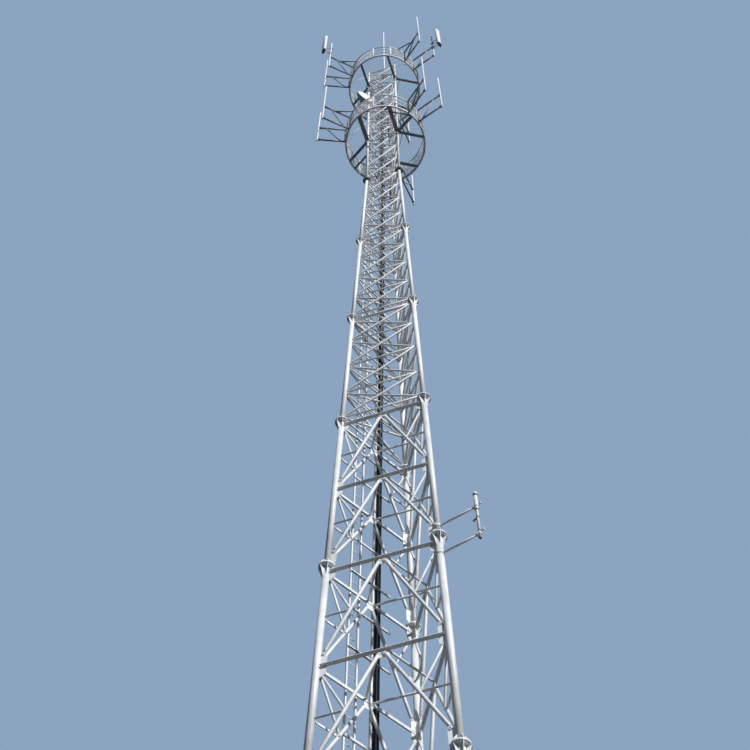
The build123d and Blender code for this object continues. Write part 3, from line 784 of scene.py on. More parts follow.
PLATFORMS = {"lower": 21.93, "upper": 25.26}
LADDER_LEFT = -0.201
LADDER_WIDTH = 0.105
LADDER_FOOT = 0.3
LADDER_TOP = PLATFORMS["upper"] + 0.56
CABLE_TOP = PLATFORMS["upper"] - 0.12
CABLE_FOOT = LADDER_FOOT + 0.2
STILE_WIDTH = 0.014
RAIL_DEPTH = 0.018
RUNG_RADIUS = 0.0036
CABLE_RADIUS = 0.0068
CABLE_PITCH = 0.0146
FIRST_CABLE = 0.014
CABLE_RAIL = 0.065
CABLE_RAIL_WIDTH = 0.020
MIDDLE_RAIL = 0.118
MIDDLE_RAIL_WIDTH = 0.013
HANGER = (0.078, 0.0135, 0.008)
BEAM_RIGHT = 0.256
BEAM_PITCH = 0.5
BEAM_HEIGHT = 0.024
BEAM_INSET = -(PLATE_FACE + 0.022 + GAP + BEAM_HEIGHT / 4)
RAIL_INSET = BEAM_INSET - BEAM_HEIGHT / 4 - GAP - RAIL_DEPTH / 2
CABLE_INSET = BEAM_INSET - BEAM_HEIGHT / 4 - GAP - 0.007
REAR_ACROSS = (leg_point("c", 0) - leg_point("a", 0)).normalized()
REAR_INSIDE = REAR_ACROSS.cross(UP)


def rear_face(height, along, inward):
    """Point in the frame of the rear left face."""
    middle = (leg_point("c", height) + leg_point("a", height)) / 2
    return middle + REAR_ACROSS * along + REAR_INSIDE * inward


def upright_run(shape, along, width, top):
    """Square rail that follows the taper and then stands straight."""
    for low, high in ((LADDER_FOOT, TAPER_TOP), (TAPER_TOP, top)):
        ends = [rear_face(height, along, RAIL_INSET) for height in (low, high)]
        shape.beam(*ends, REAR_INSIDE, width, RAIL_DEPTH)


def build_ladder(pitch):
    """Stiles and closely set thin round rungs."""
    stiles, rungs = Shape(), Shape()
    sides = (LADDER_LEFT, LADDER_LEFT + LADDER_WIDTH)
    for along in sides:
        upright_run(stiles, along, STILE_WIDTH, LADDER_TOP)
    for index in range(int((LADDER_TOP - LADDER_FOOT) / pitch)):
        height = LADDER_FOOT + pitch * (index + 0.5)
        ends = [rear_face(height, along, RAIL_INSET) for along in sides]
        rungs.tube(*ends, RUNG_RADIUS, 10)
    # The stiles and rungs take the lighter zinc, which paints sunlight onto them.
    piece("ladder_stiles", stiles, "bright", "climbing_ladder")
    piece("ladder_rungs", rungs, "bright")


def build_cable_run():
    """Rails, cross beams and black feeder cables with their hangers."""
    rails, middle, beams, cables, clips = (Shape() for _ in range(5))
    upright_run(rails, CABLE_RAIL, CABLE_RAIL_WIDTH, CABLE_TOP)
    upright_run(middle, MIDDLE_RAIL, MIDDLE_RAIL_WIDTH, CABLE_TOP)
    corner = REAR_INSIDE * 0.006 - UP * BEAM_HEIGHT / 2
    back = REAR_INSIDE * 0.0045
    for index in range(int((CABLE_TOP - LADDER_FOOT) / BEAM_PITCH)):
        height = LADDER_FOOT + BEAM_PITCH * (index + 0.9)
        start = rear_face(height, LADDER_LEFT - STILE_WIDTH / 2, BEAM_INSET)
        end = rear_face(height, BEAM_RIGHT, BEAM_INSET)
        beams.angle_bar(start + corner, end + corner, UP, -REAR_INSIDE, 0.012, 0.003)
        beams.beam(start + back, end + back, UP, 0.003, BEAM_HEIGHT)
        if height > CABLE_FOOT + 0.2:
            centre = rear_face(height + 0.02, MIDDLE_RAIL, CABLE_INSET)
            clips.box(centre, REAR_ACROSS, REAR_INSIDE, UP, HANGER)
    for side in (-1, 1):
        for step in range(2):
            along = MIDDLE_RAIL + side * (FIRST_CABLE + step * CABLE_PITCH)
            for low, high in ((CABLE_FOOT, TAPER_TOP), (TAPER_TOP, CABLE_TOP)):
                ends = [rear_face(height, along, CABLE_INSET) for height in (low, high)]
                cables.tube(*ends, CABLE_RADIUS, 12)
    piece("cable_ladder_rail", rails, "bright", "cable_rails")
    # The middle rail takes the darker zinc, which paints shade onto it.
    piece("middle_rail", middle, "dull")
    piece("ladder_beams", beams, "steel", "cross_beams")
    piece("feeder_cable_run", cables, "cable", "feeder_cables")
    piece("cable_hangers", clips, "dark")


# Platforms

RING_RADIUS = 0.684
RING_HEIGHT = 0.032
RING_HALF_SIDE = 10.0
RING_FLANGE = 0.004
RAIL_HEIGHT = 0.64
RAIL_CIRCLE = RING_RADIUS - 0.012
BEAM_WIDTHS = {"lower": (0.068, 0.044), "upper": (0.042, 0.038)}
RADIAL_WIDTH = 0.050
EDGE_WIDTH = 0.016
EXTRA_BAR = 0.15
EXTRA_WIDTH = 0.030
WEB_WALL = 0.005
WEB_HEIGHT = 0.026
BEAM_FLANGE = 0.003
LEG_REACH = 0.024
CLAMP_HEIGHT = 0.060
CLAMP_BOLT = 0.0042
EAR_BOLT = 0.0045
DECK_REACH = RING_RADIUS - 0.024
DECK_SLANTS = (math.radians(27), math.radians(-27))
FACE_GAP = (TOP_SPREAD + 0.17) / 2
LEG_GAP = TOP_SPREAD + 0.040
OPENING = [(math.radians(angle), FACE_GAP) for angle in (30, 150, 270)]
OPENING += [(math.radians(angle), LEG_GAP) for angle in LEG_ANGLES.values()]
OPEN_PART = {"lower": (271.0, 323.2), "upper": (270.0, 298.0)}
STRAND = (0.0014, 0.0020)
SHORTEST_STRAND = 0.004
ARC_STEP = 4
TOP_RAIL = 0.0118
KNEE_RAILS = ((0.02, 0.0085), (0.34, 0.007), (0.67, 0.007))
GUARD_POST = 0.0098
END_POST = 0.0115
POST_FOOT = ((0.020, 0), (0.020, 0.004), (0.0125, 0.008))
FRAME_EDGE = 1.4
FRAME_FOOT = 0.022
FRAME_HEAD = 0.030
MIDDLE_FRAME_RADIUS = 0.0035
FRAME_RADIUS = 0.0062
WIRE_RADIUS = 0.0006
WIRE_SLANT = 0.58
WIRE_STEP = 7
SHORTEST_WIRE = 0.5
STAY_HEIGHTS = {"lower": 1.0, "upper": 0.8}
STAY_RADIUS = 0.0045
POLE_CIRCLE = 1.16
POLE_RADIUS = 0.0141
POLE_DROP = 0.05
POLE_RISES = {
    "lower": (1.55, 1.90, 2.09, 1.69, 1.44, 1.44),
    "upper": (1.87, 1.72, 1.94, 1.53, 1.53, 1.53),
}
ARM_TURN = 3.0
ARM_OFFSET = 9.8
ARM_RADIUS = 0.0150
SLANT_RADIUS = 0.0115
UPRIGHT_RADIUS = 0.0130
LATERAL_RADIUS = 0.0125
LATERAL_START = 0.94
SADDLE = (0.024, 0.034, 0.036)
SADDLE_HALF = 0.013
SADDLE_BOLT = 0.004
ARM_PLATE = (0.026, 0.026, 0.016)
ARM_PLATES = (0.08, 0.88)
BRACE_BLOCK = (0.03, 0.03, 0.03)
ARM_ANGLES = [
    round(angle + ARM_TURN + side * ARM_OFFSET, 1)
    for angle in LEG_ANGLES.values()
    for side in (-1, 1)
]
LATERAL_BRACES = {
    "lower": ((222.8, 233.3),),
    "upper": ((222.8, 233.5), (323.2, 311.7)),
}


def ring_reach(angle):
    """Distance from the axis to the outside of the solids' many-sided ring."""
    off_middle = angle % (2 * RING_HALF_SIDE) - RING_HALF_SIDE
    apothem = RING_RADIUS * math.cos(math.radians(RING_HALF_SIDE))
    return apothem / math.cos(math.radians(off_middle))


def rim_point(foot, out):
    """Point inside the ring that a beam from a foot reaches in a level direction."""
    side = foot - around(0, 0, foot.z)
    shift = side.dot(out)
    apothem = (RING_RADIUS - 0.014) * math.cos(math.radians(RING_HALF_SIDE))
    run = math.sqrt(shift * shift - side.length_squared + apothem * apothem) - shift
    return foot + out * (run + 0.006)


def leg_clamp(shape, leg, low):
    """Two half bands round a leg of the straight part, with ears and bolts."""
    foot = leg_point(leg, low)
    radius = LEG_RADII[-1]
    shape.drum(foot, UP, radius + 0.005, CLAMP_HEIGHT, 24)
    out = heading(LEG_ANGLES[leg])
    middle = foot + UP * CLAMP_HEIGHT / 2
    size = (0.008, 0.018, CLAMP_HEIGHT)
    lifts = (-CLAMP_HEIGHT / 4, CLAMP_HEIGHT / 4)
    shape.ears(middle, UP.cross(out), out, radius + 0.006, size, CLAMP_BOLT, lifts)


def build_deck_frame(label, level):
    """Ring, beams and clamps of a platform."""
    ring, beams, clamps = Shape(), Shape(), Shape()
    ring.band(RING_RADIUS - 0.002, RING_HEIGHT, 0.006, level)
    for lift in (0.0, RING_HEIGHT - RING_FLANGE):
        ring.band(RING_RADIUS - 0.003, RING_FLANGE, 0.017, level + lift)
    front_width, side_width = BEAM_WIDTHS[label]
    runs = []
    for leg, other in FACES:
        feet = leg_points(leg, other, level)
        out = ((feet[0] + feet[1]) / 2 - around(0, 0, level)).normalized()
        width = front_width if is_front(out) else side_width
        runs += [(foot, rim_point(foot, out), width) for foot in feet]
    if label == "lower":
        corner = leg_point("b", level)
        rim = around(LEG_ANGLES["b"], RAIL_CIRCLE, level)
        inner = corner - Vector((0, (corner - rim).length, 0))
        start = leg_point("a", level) + REAR_ACROSS * EXTRA_BAR
        runs += [
            (corner, rim, RADIAL_WIDTH),
            (rim, inner, EDGE_WIDTH),
            (start, rim_point(start, -REAR_INSIDE), EXTRA_WIDTH),
        ]
    for foot, end, width in runs:
        way = (end - foot).normalized()
        start = foot + way * LEG_REACH
        lift = UP * RING_HEIGHT / 2
        beams.beam(start + lift, end + lift, UP, WEB_WALL, WEB_HEIGHT)
        for sign in (-1, 1):
            edge = lift + UP * sign * (WEB_HEIGHT - BEAM_FLANGE) / 2
            beams.beam(start + edge, end + edge, way.cross(UP), BEAM_FLANGE, width)
    for leg in LEG_ANGLES:
        leg_clamp(clamps, leg, level + 0.015)
    piece(f"{label}_ring", ring, "bright", f"{label}_deck_frame")
    # The beams take the darker zinc, which paints shade onto their undersides.
    piece(f"{label}_beams", beams, "dull")
    piece(f"{label}_clamps", clamps, "dark")


def inside_opening(point):
    """True if a point from the axis lies in the six-sided opening round the tower."""
    return all(
        point[0] * math.cos(turn) + point[1] * math.sin(turn) <= gap for turn, gap in OPENING
    )


def clipped_line(offset, direction):
    """Stretches of a straight line inside the ring and outside the opening."""
    along = Vector((math.cos(direction), math.sin(direction)))
    middle = Vector((-along.y, along.x)) * offset
    half = math.sqrt(DECK_REACH * DECK_REACH - offset * offset)
    cuts = [-half, half]
    for turn, gap in OPENING:
        normal = Vector((math.cos(turn), math.sin(turn)))
        rate = along.dot(normal)
        if abs(rate) > 1e-6:
            spot = (gap - middle.dot(normal)) / rate
            if -half < spot < half:
                cuts.append(spot)
    cuts.sort()
    runs = []
    for low, high in zip(cuts, cuts[1:]):
        is_open = inside_opening(middle + along * ((low + high) / 2))
        if high - low > SHORTEST_STRAND and not is_open:
            runs.append((middle + along * low, middle + along * high))
    return runs


def build_deck(label, level, pitch):
    """Expanded metal deck: two sets of slanting strands with flat edge strips."""
    shape = Shape()
    lift = AXIS + UP * (level + RING_HEIGHT - 0.0005)
    count = int(DECK_REACH / pitch)
    for direction in DECK_SLANTS:
        for index in range(-count, count + 1):
            for low, high in clipped_line(index * pitch, direction):
                shape.beam(lift + low.to_3d(), lift + high.to_3d(), UP, *STRAND)
    shape.band(DECK_REACH + 0.003, 0.004, 0.012, level + RING_HEIGHT - 0.002)
    corners = []
    for angle in (90, 210, 330):
        foot = lift + heading(angle) * (LEG_GAP + 0.005)
        side = heading(angle + 90) * (2 * FACE_GAP - LEG_GAP) / math.sqrt(3)
        corners += [foot - side, foot + side]
    for first, second in zip(corners, corners[1:] + corners[:1]):
        shape.beam(first, second, UP, 0.012, 0.004)
    piece(f"{label}_deck", shape, "steel", f"{label}_deck_mesh")


def arc(start, end, height):
    """Points along a level arc above the ring."""
    count = math.ceil((end - start) / ARC_STEP)
    angles = [start + (end - start) * step / count for step in range(count + 1)]
    return [around(angle, RAIL_CIRCLE, height) for angle in angles]


def mesh_panel(frames, wires, start, end, low, high, pitch):
    """Curved frame between two posts, filled with slanting wires in two directions."""
    middle = (low + high) / 2
    for height in (low, high, middle):
        radius = MIDDLE_FRAME_RADIUS if height == middle else FRAME_RADIUS
        frames.rod_path(arc(start, end, height), radius)
    for angle in (start, end):
        ends = [around(angle, RAIL_CIRCLE, height) for height in (low, high)]
        frames.tube(*ends, FRAME_RADIUS, 8)
    lean = math.degrees(WIRE_SLANT * (high - low) / RAIL_CIRCLE)
    span = end - start + lean
    count = int(math.radians(span) * RAIL_CIRCLE / pitch)
    for index in range(1, count):
        base = start - lean + span * index / count
        first, last = max(start, base), min(end, base + lean)
        if last - first < SHORTEST_WIRE:
            continue
        steps = math.ceil((last - first) / WIRE_STEP)
        angles = [first + (last - first) * step / steps for step in range(steps + 1)]
        shares = [(angle - base) / lean for angle in angles]
        for foot, rise in ((low, high - low), (high, low - high)):
            places = zip(angles, shares)
            points = [around(angle, RAIL_CIRCLE, foot + rise * share) for angle, share in places]
            wires.rod_path(points, WIRE_RADIUS, 3)


def build_guard(label, level, pitch):
    """Top rail, posts, an open part with knee rails, and mesh panels all round the rest."""
    rails, frames, wires = Shape(), Shape(), Shape()
    low = level + RING_HEIGHT
    high = low + RAIL_HEIGHT - 0.0125
    outline = []
    for index in range(10):
        roll = heading(36 * index) * TOP_RAIL
        outline.append((RAIL_CIRCLE + roll.x, high + roll.y))
    rails.loop(outline, [True] * len(outline))
    open_start, open_end = OPEN_PART[label]
    angles = {angle % 360 for angle in ARM_ANGLES} | {30.0, 150.0, open_start, open_end}
    angles = sorted(angles)
    for angle, following in zip(angles, angles[1:] + [angles[0] + 360]):
        foot = around(angle, RAIL_CIRCLE, low)
        is_end = angle in OPEN_PART[label]
        rails.tube(foot, foot + UP * (high - low), END_POST if is_end else GUARD_POST)
        rails.lathe(foot, UP, POST_FOOT, 16, [False, True])
        if angle == open_start:
            for share, thick in KNEE_RAILS:
                height = low + (high - low) * share + 0.006
                rails.rod_path(arc(angle, following, height), thick, 10)
        else:
            ends = (angle + FRAME_EDGE, following - FRAME_EDGE)
            mesh_panel(frames, wires, *ends, low + FRAME_FOOT, high - FRAME_HEAD, pitch)
    piece(f"{label}_guard", rails, "bright", f"{label}_guard_rail")
    piece(f"{label}_guard_frames", frames, "steel")
    piece(f"{label}_guard_wires", wires, "steel")


def build_stays(label, level):
    """Inclined stays from the legs down to the ring."""
    shape = Shape()
    height = level + STAY_HEIGHTS[label]
    for leg, angle in LEG_ANGLES.items():
        inner = around(angle, TOP_SPREAD + LEG_REACH, height)
        head = around(angle, TOP_SPREAD + 0.034, height)
        foot = around(angle, RING_RADIUS - 0.019, level + RING_HEIGHT + 0.006)
        shape.tube(head, foot, STAY_RADIUS)
        shape.bolt_pair(foot, (head - foot).cross(UP), 0.005, 0.0045)
        leg_clamp(shape, leg, height - CLAMP_HEIGHT / 2)
        shape.beam(inner, head + (head - inner) * 0.3, UP, 0.005, 0.030)
    piece(f"{label}_stay_rods", shape, "steel", f"{label}_stays")


def build_arms(label, level):
    """Antenna arms with their poles, clamps and slanting bars."""
    arms, poles, clamps = Shape(), Shape(), Shape()
    low = level + RING_HEIGHT / 2
    high = level + RING_HEIGHT + RAIL_HEIGHT - 0.010
    tip = POLE_CIRCLE - POLE_RADIUS - 0.001
    for angle, rise in zip(ARM_ANGLES, POLE_RISES[label]):
        inner = ring_reach(angle) + 0.001
        out = heading(angle)
        side = out.cross(UP)
        for height in (low, high):
            arms.tube(around(angle, inner, height), around(angle, tip, height), ARM_RADIUS)
            saddle = around(angle, tip - 0.010, height)
            clamps.box(saddle, out, side, UP, SADDLE)
            for lift in (-SADDLE_HALF, SADDLE_HALF):
                band = around(angle, POLE_CIRCLE, height + lift - 0.003)
                clamps.drum(band, UP, POLE_RADIUS + 0.0002, 0.006, 20)
                for sign in (-1, 1):
                    seat = saddle + side * sign * 0.0125 + UP * lift - out * SADDLE[0] / 2
                    clamps.bolt(seat, -out, SADDLE_BOLT)
        slant = around(angle, inner + 0.08, low), around(angle, tip - 0.12, high)
        arms.tube(*slant, SLANT_RADIUS, 12)
        upright = around(angle, inner + 0.010, low - 0.012)
        arms.tube(upright, upright + UP * (high - low + 0.024), UPRIGHT_RADIUS)
        profile = chamfered(POLE_RADIUS, rise + POLE_DROP, EDGE, 0.0015)
        poles.lathe(around(angle, POLE_CIRCLE, level - POLE_DROP), UP, profile, 20)
        for share in ARM_PLATES:
            plate = around(angle, inner + 0.012, low + (high - low) * share)
            clamps.box(plate, out, side, UP, ARM_PLATE)
    for angle, rail_angle in LATERAL_BRACES[label]:
        reach = heading(rail_angle) * (RING_RADIUS - 0.004)
        end = AXIS + reach + UP * high
        arms.tube(around(angle, LATERAL_START, high), end, LATERAL_RADIUS, 12)
        clamps.box(end, UP, reach, UP.cross(reach), BRACE_BLOCK)
    # The arms take the darker zinc, which paints shade onto them.
    piece(f"{label}_arms", arms, "dull", f"{label}_antenna_arms")
    piece(f"{label}_poles", poles, "bright", f"{label}_antenna_poles")
    piece(f"{label}_pole_clamps", clamps, "dark")


# Antennas, dish, pegs and the head of the tower

PANELS = ((342.8, 0.48), (222.8, 0.87))
PANEL_DEPTH = 0.0612
PANEL_WIDTH = 0.119
PANEL_HEIGHT = 1.080
PANEL_CIRCLE = POLE_CIRCLE + 0.120
COVER_LEVELS = (
    (0.030, 0.003),
    (0.032, 0.0),
    (PANEL_HEIGHT - 0.016, 0.0),
    (PANEL_HEIGHT - 0.005, 0.003),
    (PANEL_HEIGHT, 0.010),
)
CAP_LEVELS = ((0.012, 0.004), (0.015, 0.0015), (0.030, 0.0015))
CONNECTOR = ((0.0055, 0), (0.0075, 0.002), (0.0075, 0.013))
CONNECTOR_PLACES = (-0.036, -0.012, 0.012, 0.036)
BRACKET_SHARES = (0.08, 0.40)
BRACKET_SIDE = 0.017
DISH_HEIGHT = 23.75
DISH_ANGLE = 241.6
DISH_DISTANCE = 0.472
DISH_AIM = 321.2
DISH_RADIUS = 0.165
DISH_SIDES = 56
DISH_FRONT = ((0.06, 0.0), (0.12, 0.001), (0.150, 0.0025), (0.158, 0.005), (0.160, 0.016))
DISH_DEPTH = 0.148
BACK_RADIUS = 0.160
POST_RADIUS = 0.0155
POST_HEIGHT = 0.162
DISH_ARM_DROP = -0.130
DISH_ARM_RADIUS = 0.0135
DISH_BRACE_RADIUS = 0.0065
DISH_HUB = ((0.040, 0), (0.040, 0.006), (0.016, 0.006), (0.016, 0.030))
SIDE_ANGLE = 336.0
SIDE_DISTANCE = 0.968
SIDE_FOOT = 9.677
SIDE_CAP = 0.0226
SIDE_CAP_FOOT = 0.649
SIDE_CAP_RISE = 0.034
SIDE_ARM_RADIUS = 0.0098
SIDE_STEM = ((0.0130, 0.018), (0.0130, 0.424), (0.0172, 0.431), (0.0172, 0.640))
SIDE_BANDS = ((0.106, 0.0148), (0.295, 0.0155), (0.408, 0.0180))
STUB_RADIUS = 0.0085
STUB_TIP = ((0.0105, -0.006), (0.0105, 0.003), (0.006, 0.006))
STUB_REACH = 0.042
SIDE_ARMS = ((9.742, 0.0142), (10.145, 0.0184))
PEG_COUNT = 6
PEG_PITCH = 0.55
FIRST_PEG = 16.62
PEG_SHANK = ((0.0044, 0), (0.0044, 0.040), (0.0078, 0.041), (0.0078, 0.0455))
PEG_NUTS = ((0.001, 0.0078), (0.009, 0.0072))
HEAD_DROP = 0.014
HEAD_PLATE = 0.0595
HEAD_THICK = 0.009
HEAD_RADIUS = 0.0115
SPOKE_RADIUS = 0.0088
SPOKE_TONGUE = 0.025
ROD_FOOT = 0.044
ROD_BOLT = 0.0055
ROD_FIN_RISE = 0.055
ROD_FIN_THICK = 0.004
ROD_PROFILE = (
    (0.0205, 0.005), (0.0205, 1.292), (0.0212, 1.294), (0.0212, 1.306),
    (0.0185, 1.318), (0.0185, 2.492), (0.0190, 2.494), (0.0190, 2.508),
    (0.0160, 2.520), (0.0160, 3.660), (0.0100, 3.695), (0.0030, 3.706),
)


def panel_outline(angle, height, inset):
    """Outline of a panel antenna's cover at a height: flat back, rounded front."""
    out = heading(angle)
    side = UP.cross(out)
    foot = around(angle, PANEL_CIRCLE, height)
    points = []
    for step in range(-9, 10):
        turn = math.radians(step * 10)
        reach = inset + (PANEL_DEPTH - 2 * inset) * max(math.cos(turn), 0) ** 0.55
        shift = (PANEL_WIDTH / 2 - inset) * math.sin(turn)
        points.append(foot + out * reach + side * shift)
    return points


def panel_brackets(brackets, angle, level):
    """Clamp on the pole, two tilting plates and the foot on the cover's back."""
    out = heading(angle)
    side = UP.cross(out)
    inner = POLE_CIRCLE + POLE_RADIUS
    pads = (
        (inner + 0.006, (0.011, 0.042, 0.030)),
        (PANEL_CIRCLE - 0.004, (0.007, 0.050, 0.034)),
        (POLE_CIRCLE - POLE_RADIUS - 0.006, (0.011, 0.042, 0.030)),
    )
    for distance, size in pads:
        brackets.box(around(angle, distance, level), out, side, UP, size)
    for aside in (-side, side):
        start = around(angle, inner - 0.010, level) + aside * BRACKET_SIDE
        end = around(angle, PANEL_CIRCLE, level) + aside * BRACKET_SIDE
        brackets.beam(start, end, UP, 0.004, 0.022)
        brackets.bolt((start + end) / 2 + aside * 0.002, aside, 0.0055)
        rod = around(angle, POLE_CIRCLE - 0.030, level) + aside * 0.0175
        brackets.tube(rod, rod + out * 0.062, 0.003, 8)
        brackets.bolt(rod + out * 0.003, -out, SMALL_BOLT)


def build_panels():
    """Panel antennas with bottom caps, connectors and tilting brackets."""
    covers, caps, brackets = Shape(), Shape(), Shape()
    for angle, lift in PANELS:
        foot = PLATFORMS["upper"] + lift
        for shape, levels in ((covers, COVER_LEVELS), (caps, CAP_LEVELS)):
            shape.rings([panel_outline(angle, foot + level, inset) for level, inset in levels])
        for shift in CONNECTOR_PLACES:
            spot = around(angle, PANEL_CIRCLE + 0.026, foot) + UP.cross(heading(angle)) * shift
            caps.lathe(spot, UP, CONNECTOR, 12, [False, True])
        for share in BRACKET_SHARES:
            panel_brackets(brackets, angle, foot + PANEL_HEIGHT * share)
    piece("panel_covers", covers, "cover", "panel_antennas")
    piece("panel_caps", caps, "cap")
    # The bracket arms take the darker zinc, which paints shade onto them.
    piece("panel_bracket_arms", brackets, "dull", "panel_brackets")


def dish_drum():
    """Rim, band and rounded back of the dish, and which of its steps are soft."""
    rim, groove = DISH_RADIUS, DISH_RADIUS - 0.003
    drum = [(0.159, 0.007), (rim - 0.001, 0.007), (rim, 0.009), (rim, 0.016)]
    drum += [(groove, 0.018), (groove, 0.034), (rim, 0.036), (rim, 0.040), (groove, 0.042)]
    soft = [False, True, False, False, False, False] + [True] * 13
    for step in range(1, 11):
        radius = BACK_RADIUS - 0.0118 * step
        bulge = (1 - (radius / BACK_RADIUS) ** 2) ** 0.9
        drum.append((radius, 0.042 + 0.098 * bulge))
    drum.append((0.040, DISH_DEPTH))
    return drum, soft


def build_dish():
    """Dish with a rim and a slightly domed cover, its post and the arm to leg a."""
    cover, shell, mount, clamps = (Shape() for _ in range(4))
    aim = heading(DISH_AIM)
    face = around(DISH_ANGLE, DISH_DISTANCE, DISH_HEIGHT)
    cover.lathe(face, -aim, DISH_FRONT, DISH_SIDES)
    drum, soft = dish_drum()
    # The dish's back is drawn in a dark tone that paints its shade.
    shell.lathe(face, -aim, drum, DISH_SIDES, soft)
    back = face - aim * DISH_DEPTH
    mount.lathe(back, -aim, DISH_HUB, 24, [True, False, True])
    post = back - aim * 0.042
    level = DISH_ARM_DROP
    mount.lathe(post + UP * (level - 0.016), UP, chamfered(POST_RADIUS, POST_HEIGHT), 24)
    leg_axis = leg_point("a", DISH_HEIGHT + level)
    way = (leg_axis - post - UP * level).normalized()
    across = way.cross(UP)
    arm = post + UP * level + way * 0.012, leg_axis - way * 0.028
    mount.tube(*arm, DISH_ARM_RADIUS, 20)
    for lift in (level, 0):
        centre = post + UP * (lift - 0.017)
        clamps.drum(centre, UP, 0.0195, 0.034, 24)
        size = (0.012, 0.014, 0.030)
        clamps.ears(centre + UP * 0.017, across, way, 0.024, size, EAR_BOLT)
    brace_end = around(LEG_ANGLES["a"], TOP_SPREAD + 0.026, DISH_HEIGHT - 0.030)
    mount.tube(post - UP * 0.03 + way * 0.015, brace_end, DISH_BRACE_RADIUS, 12)
    leg_clamp(clamps, "a", DISH_HEIGHT + level - CLAMP_HEIGHT / 2)
    piece("dish_cover", cover, "cover", "dish")
    piece("dish_shell", shell, "shell")
    piece("dish_post", mount, "steel", "dish_mount")
    piece("dish_clamps", clamps, "dark")


def side_antenna_arm(arms, height, grip):
    """Arm from leg b to the side antenna, with a band and bolts at both ends."""
    axis = leg_point("b", height)
    stem = around(SIDE_ANGLE, SIDE_DISTANCE, height)
    way = (stem - axis).normalized()
    across = way.cross(UP)
    lean = leg_lean("b", height)
    radius = leg_radius(height)
    arms.tube(axis + way * (radius + 0.004), stem - way * grip, SIDE_ARM_RADIUS, 16)
    arms.drum(stem - UP * 0.012, UP, grip + 0.003, 0.024, 20)
    arms.box(stem - way * (grip + 0.006), way, across, UP, (0.014, 0.034, 0.024))
    arms.drum(axis - lean * 0.014, lean, radius + 0.0045, 0.028, 32)
    for aside in (-across, across):
        arms.bolt(stem - way * (grip + 0.013) + aside * 0.012, -way, SADDLE_BOLT)
    arms.ears(axis, across, way, radius + 0.012, (0.016, 0.014, 0.026), EAR_BOLT)


def build_side_antenna():
    """Slim antenna beside leg b: sleeve, stem, cap, stubs, bands and its two arms."""
    foot = around(SIDE_ANGLE, SIDE_DISTANCE, SIDE_FOOT)
    cover, caps, arms = Shape(), Shape(), Shape()
    cover.lathe(foot, UP, SIDE_STEM, 24)
    dome = [(0.0165, 0.640), (0.0222, 0.643), (SIDE_CAP, SIDE_CAP_FOOT)]
    for step in range(1, 7):
        turn = math.radians(14 * step)
        rise = SIDE_CAP_FOOT + SIDE_CAP_RISE * math.sin(turn)
        dome.append((SIDE_CAP * math.cos(turn), rise))
    cover.lathe(foot, UP, dome, 28)
    caps.lathe(foot, UP, [(0.0110, 0), (0.0140, 0.004), (0.0140, 0.020)], 20)
    # Dark collar under the dome: a painted shadow that the dome casts on the top of the sleeve.
    caps.lathe(foot, UP, [(0.0190, 0.618), (0.0205, 0.642)], 24)
    for height, radius in SIDE_BANDS:
        caps.drum(foot + UP * height, UP, radius, 0.012, 20)
    reach = (foot - leg_point("b", SIDE_FOOT)).normalized() * STUB_REACH
    stubs = (
        (cover, 0.101, reach),
        (cover, 0.487, reach),
        (caps, 0.300, -reach - UP * 0.018),
    )
    for shape, height, run in stubs:
        start = foot + UP * height
        shape.tube(start, start + run, STUB_RADIUS)
        shape.lathe(start + run, run, STUB_TIP, TUBE_SIDES)
    for height, grip in SIDE_ARMS:
        side_antenna_arm(arms, height, grip)
    piece("side_antenna_stem", cover, "cover", "side_antenna")
    piece("side_antenna_bands", caps, "cap")
    piece("side_antenna_holders", arms, "steel", "side_antenna_arms")


def build_pegs():
    """Step pegs of leg a: shank, two nuts and a stop at the tip."""
    shape = Shape()
    angle = LEG_ANGLES["a"]
    out = heading(angle)
    for index in range(PEG_COUNT):
        height = FIRST_PEG + PEG_PITCH * index
        foot = around(angle, spread(height) + leg_radius(height) - 0.001, height)
        shape.lathe(foot, out, PEG_SHANK, TUBE_SIDES)
        for distance, size in PEG_NUTS:
            shape.bolt(foot + out * distance, out, size)
    piece("leg_step_pegs", shape, "steel", "step_pegs")


def build_head():
    """Level tubes between the leg heads and the stepped lightning rod on its plate."""
    frame, rod = Shape(), Shape()
    height = TOWER_TOP - HEAD_DROP
    middle = around(0, 0, height)
    for leg, other in FACES:
        start, end = leg_points(leg, other, height)
        flat_end(frame, *trimmed(start, end, 0.021, 0.021), UP, HEAD_RADIUS, SLIM_TONGUE)
        ends = trimmed(middle, (start + end) / 2, 0.04, 0.008)
        flat_end(frame, *ends, UP, SPOKE_RADIUS, SPOKE_TONGUE)
    under = middle - UP * HEAD_THICK
    frame.lathe(under, UP, chamfered(HEAD_PLATE, HEAD_THICK), FLANGE_SIDES)
    rod.lathe(middle, UP, [(ROD_FOOT, 0), (ROD_FOOT, HEAD_THICK)], 32, [False])
    base = middle + UP * HEAD_THICK
    for index in range(4):
        rod.bolt(base + heading(45 + 90 * index) * 0.034, UP, ROD_BOLT)
        turned = heading(90 + 90 * index)
        inner = base + turned * 0.020
        corners = [inner, base + turned * 0.042, inner + UP * ROD_FIN_RISE]
        rod.prism(corners, turned.cross(UP) * ROD_FIN_THICK)
    rod.lathe(middle, UP, ROD_PROFILE, 24)
    piece("head_frame", frame, "bright", "top_frame")
    piece("stepped_rod", rod, "bright", "lightning_rod")


# Stage

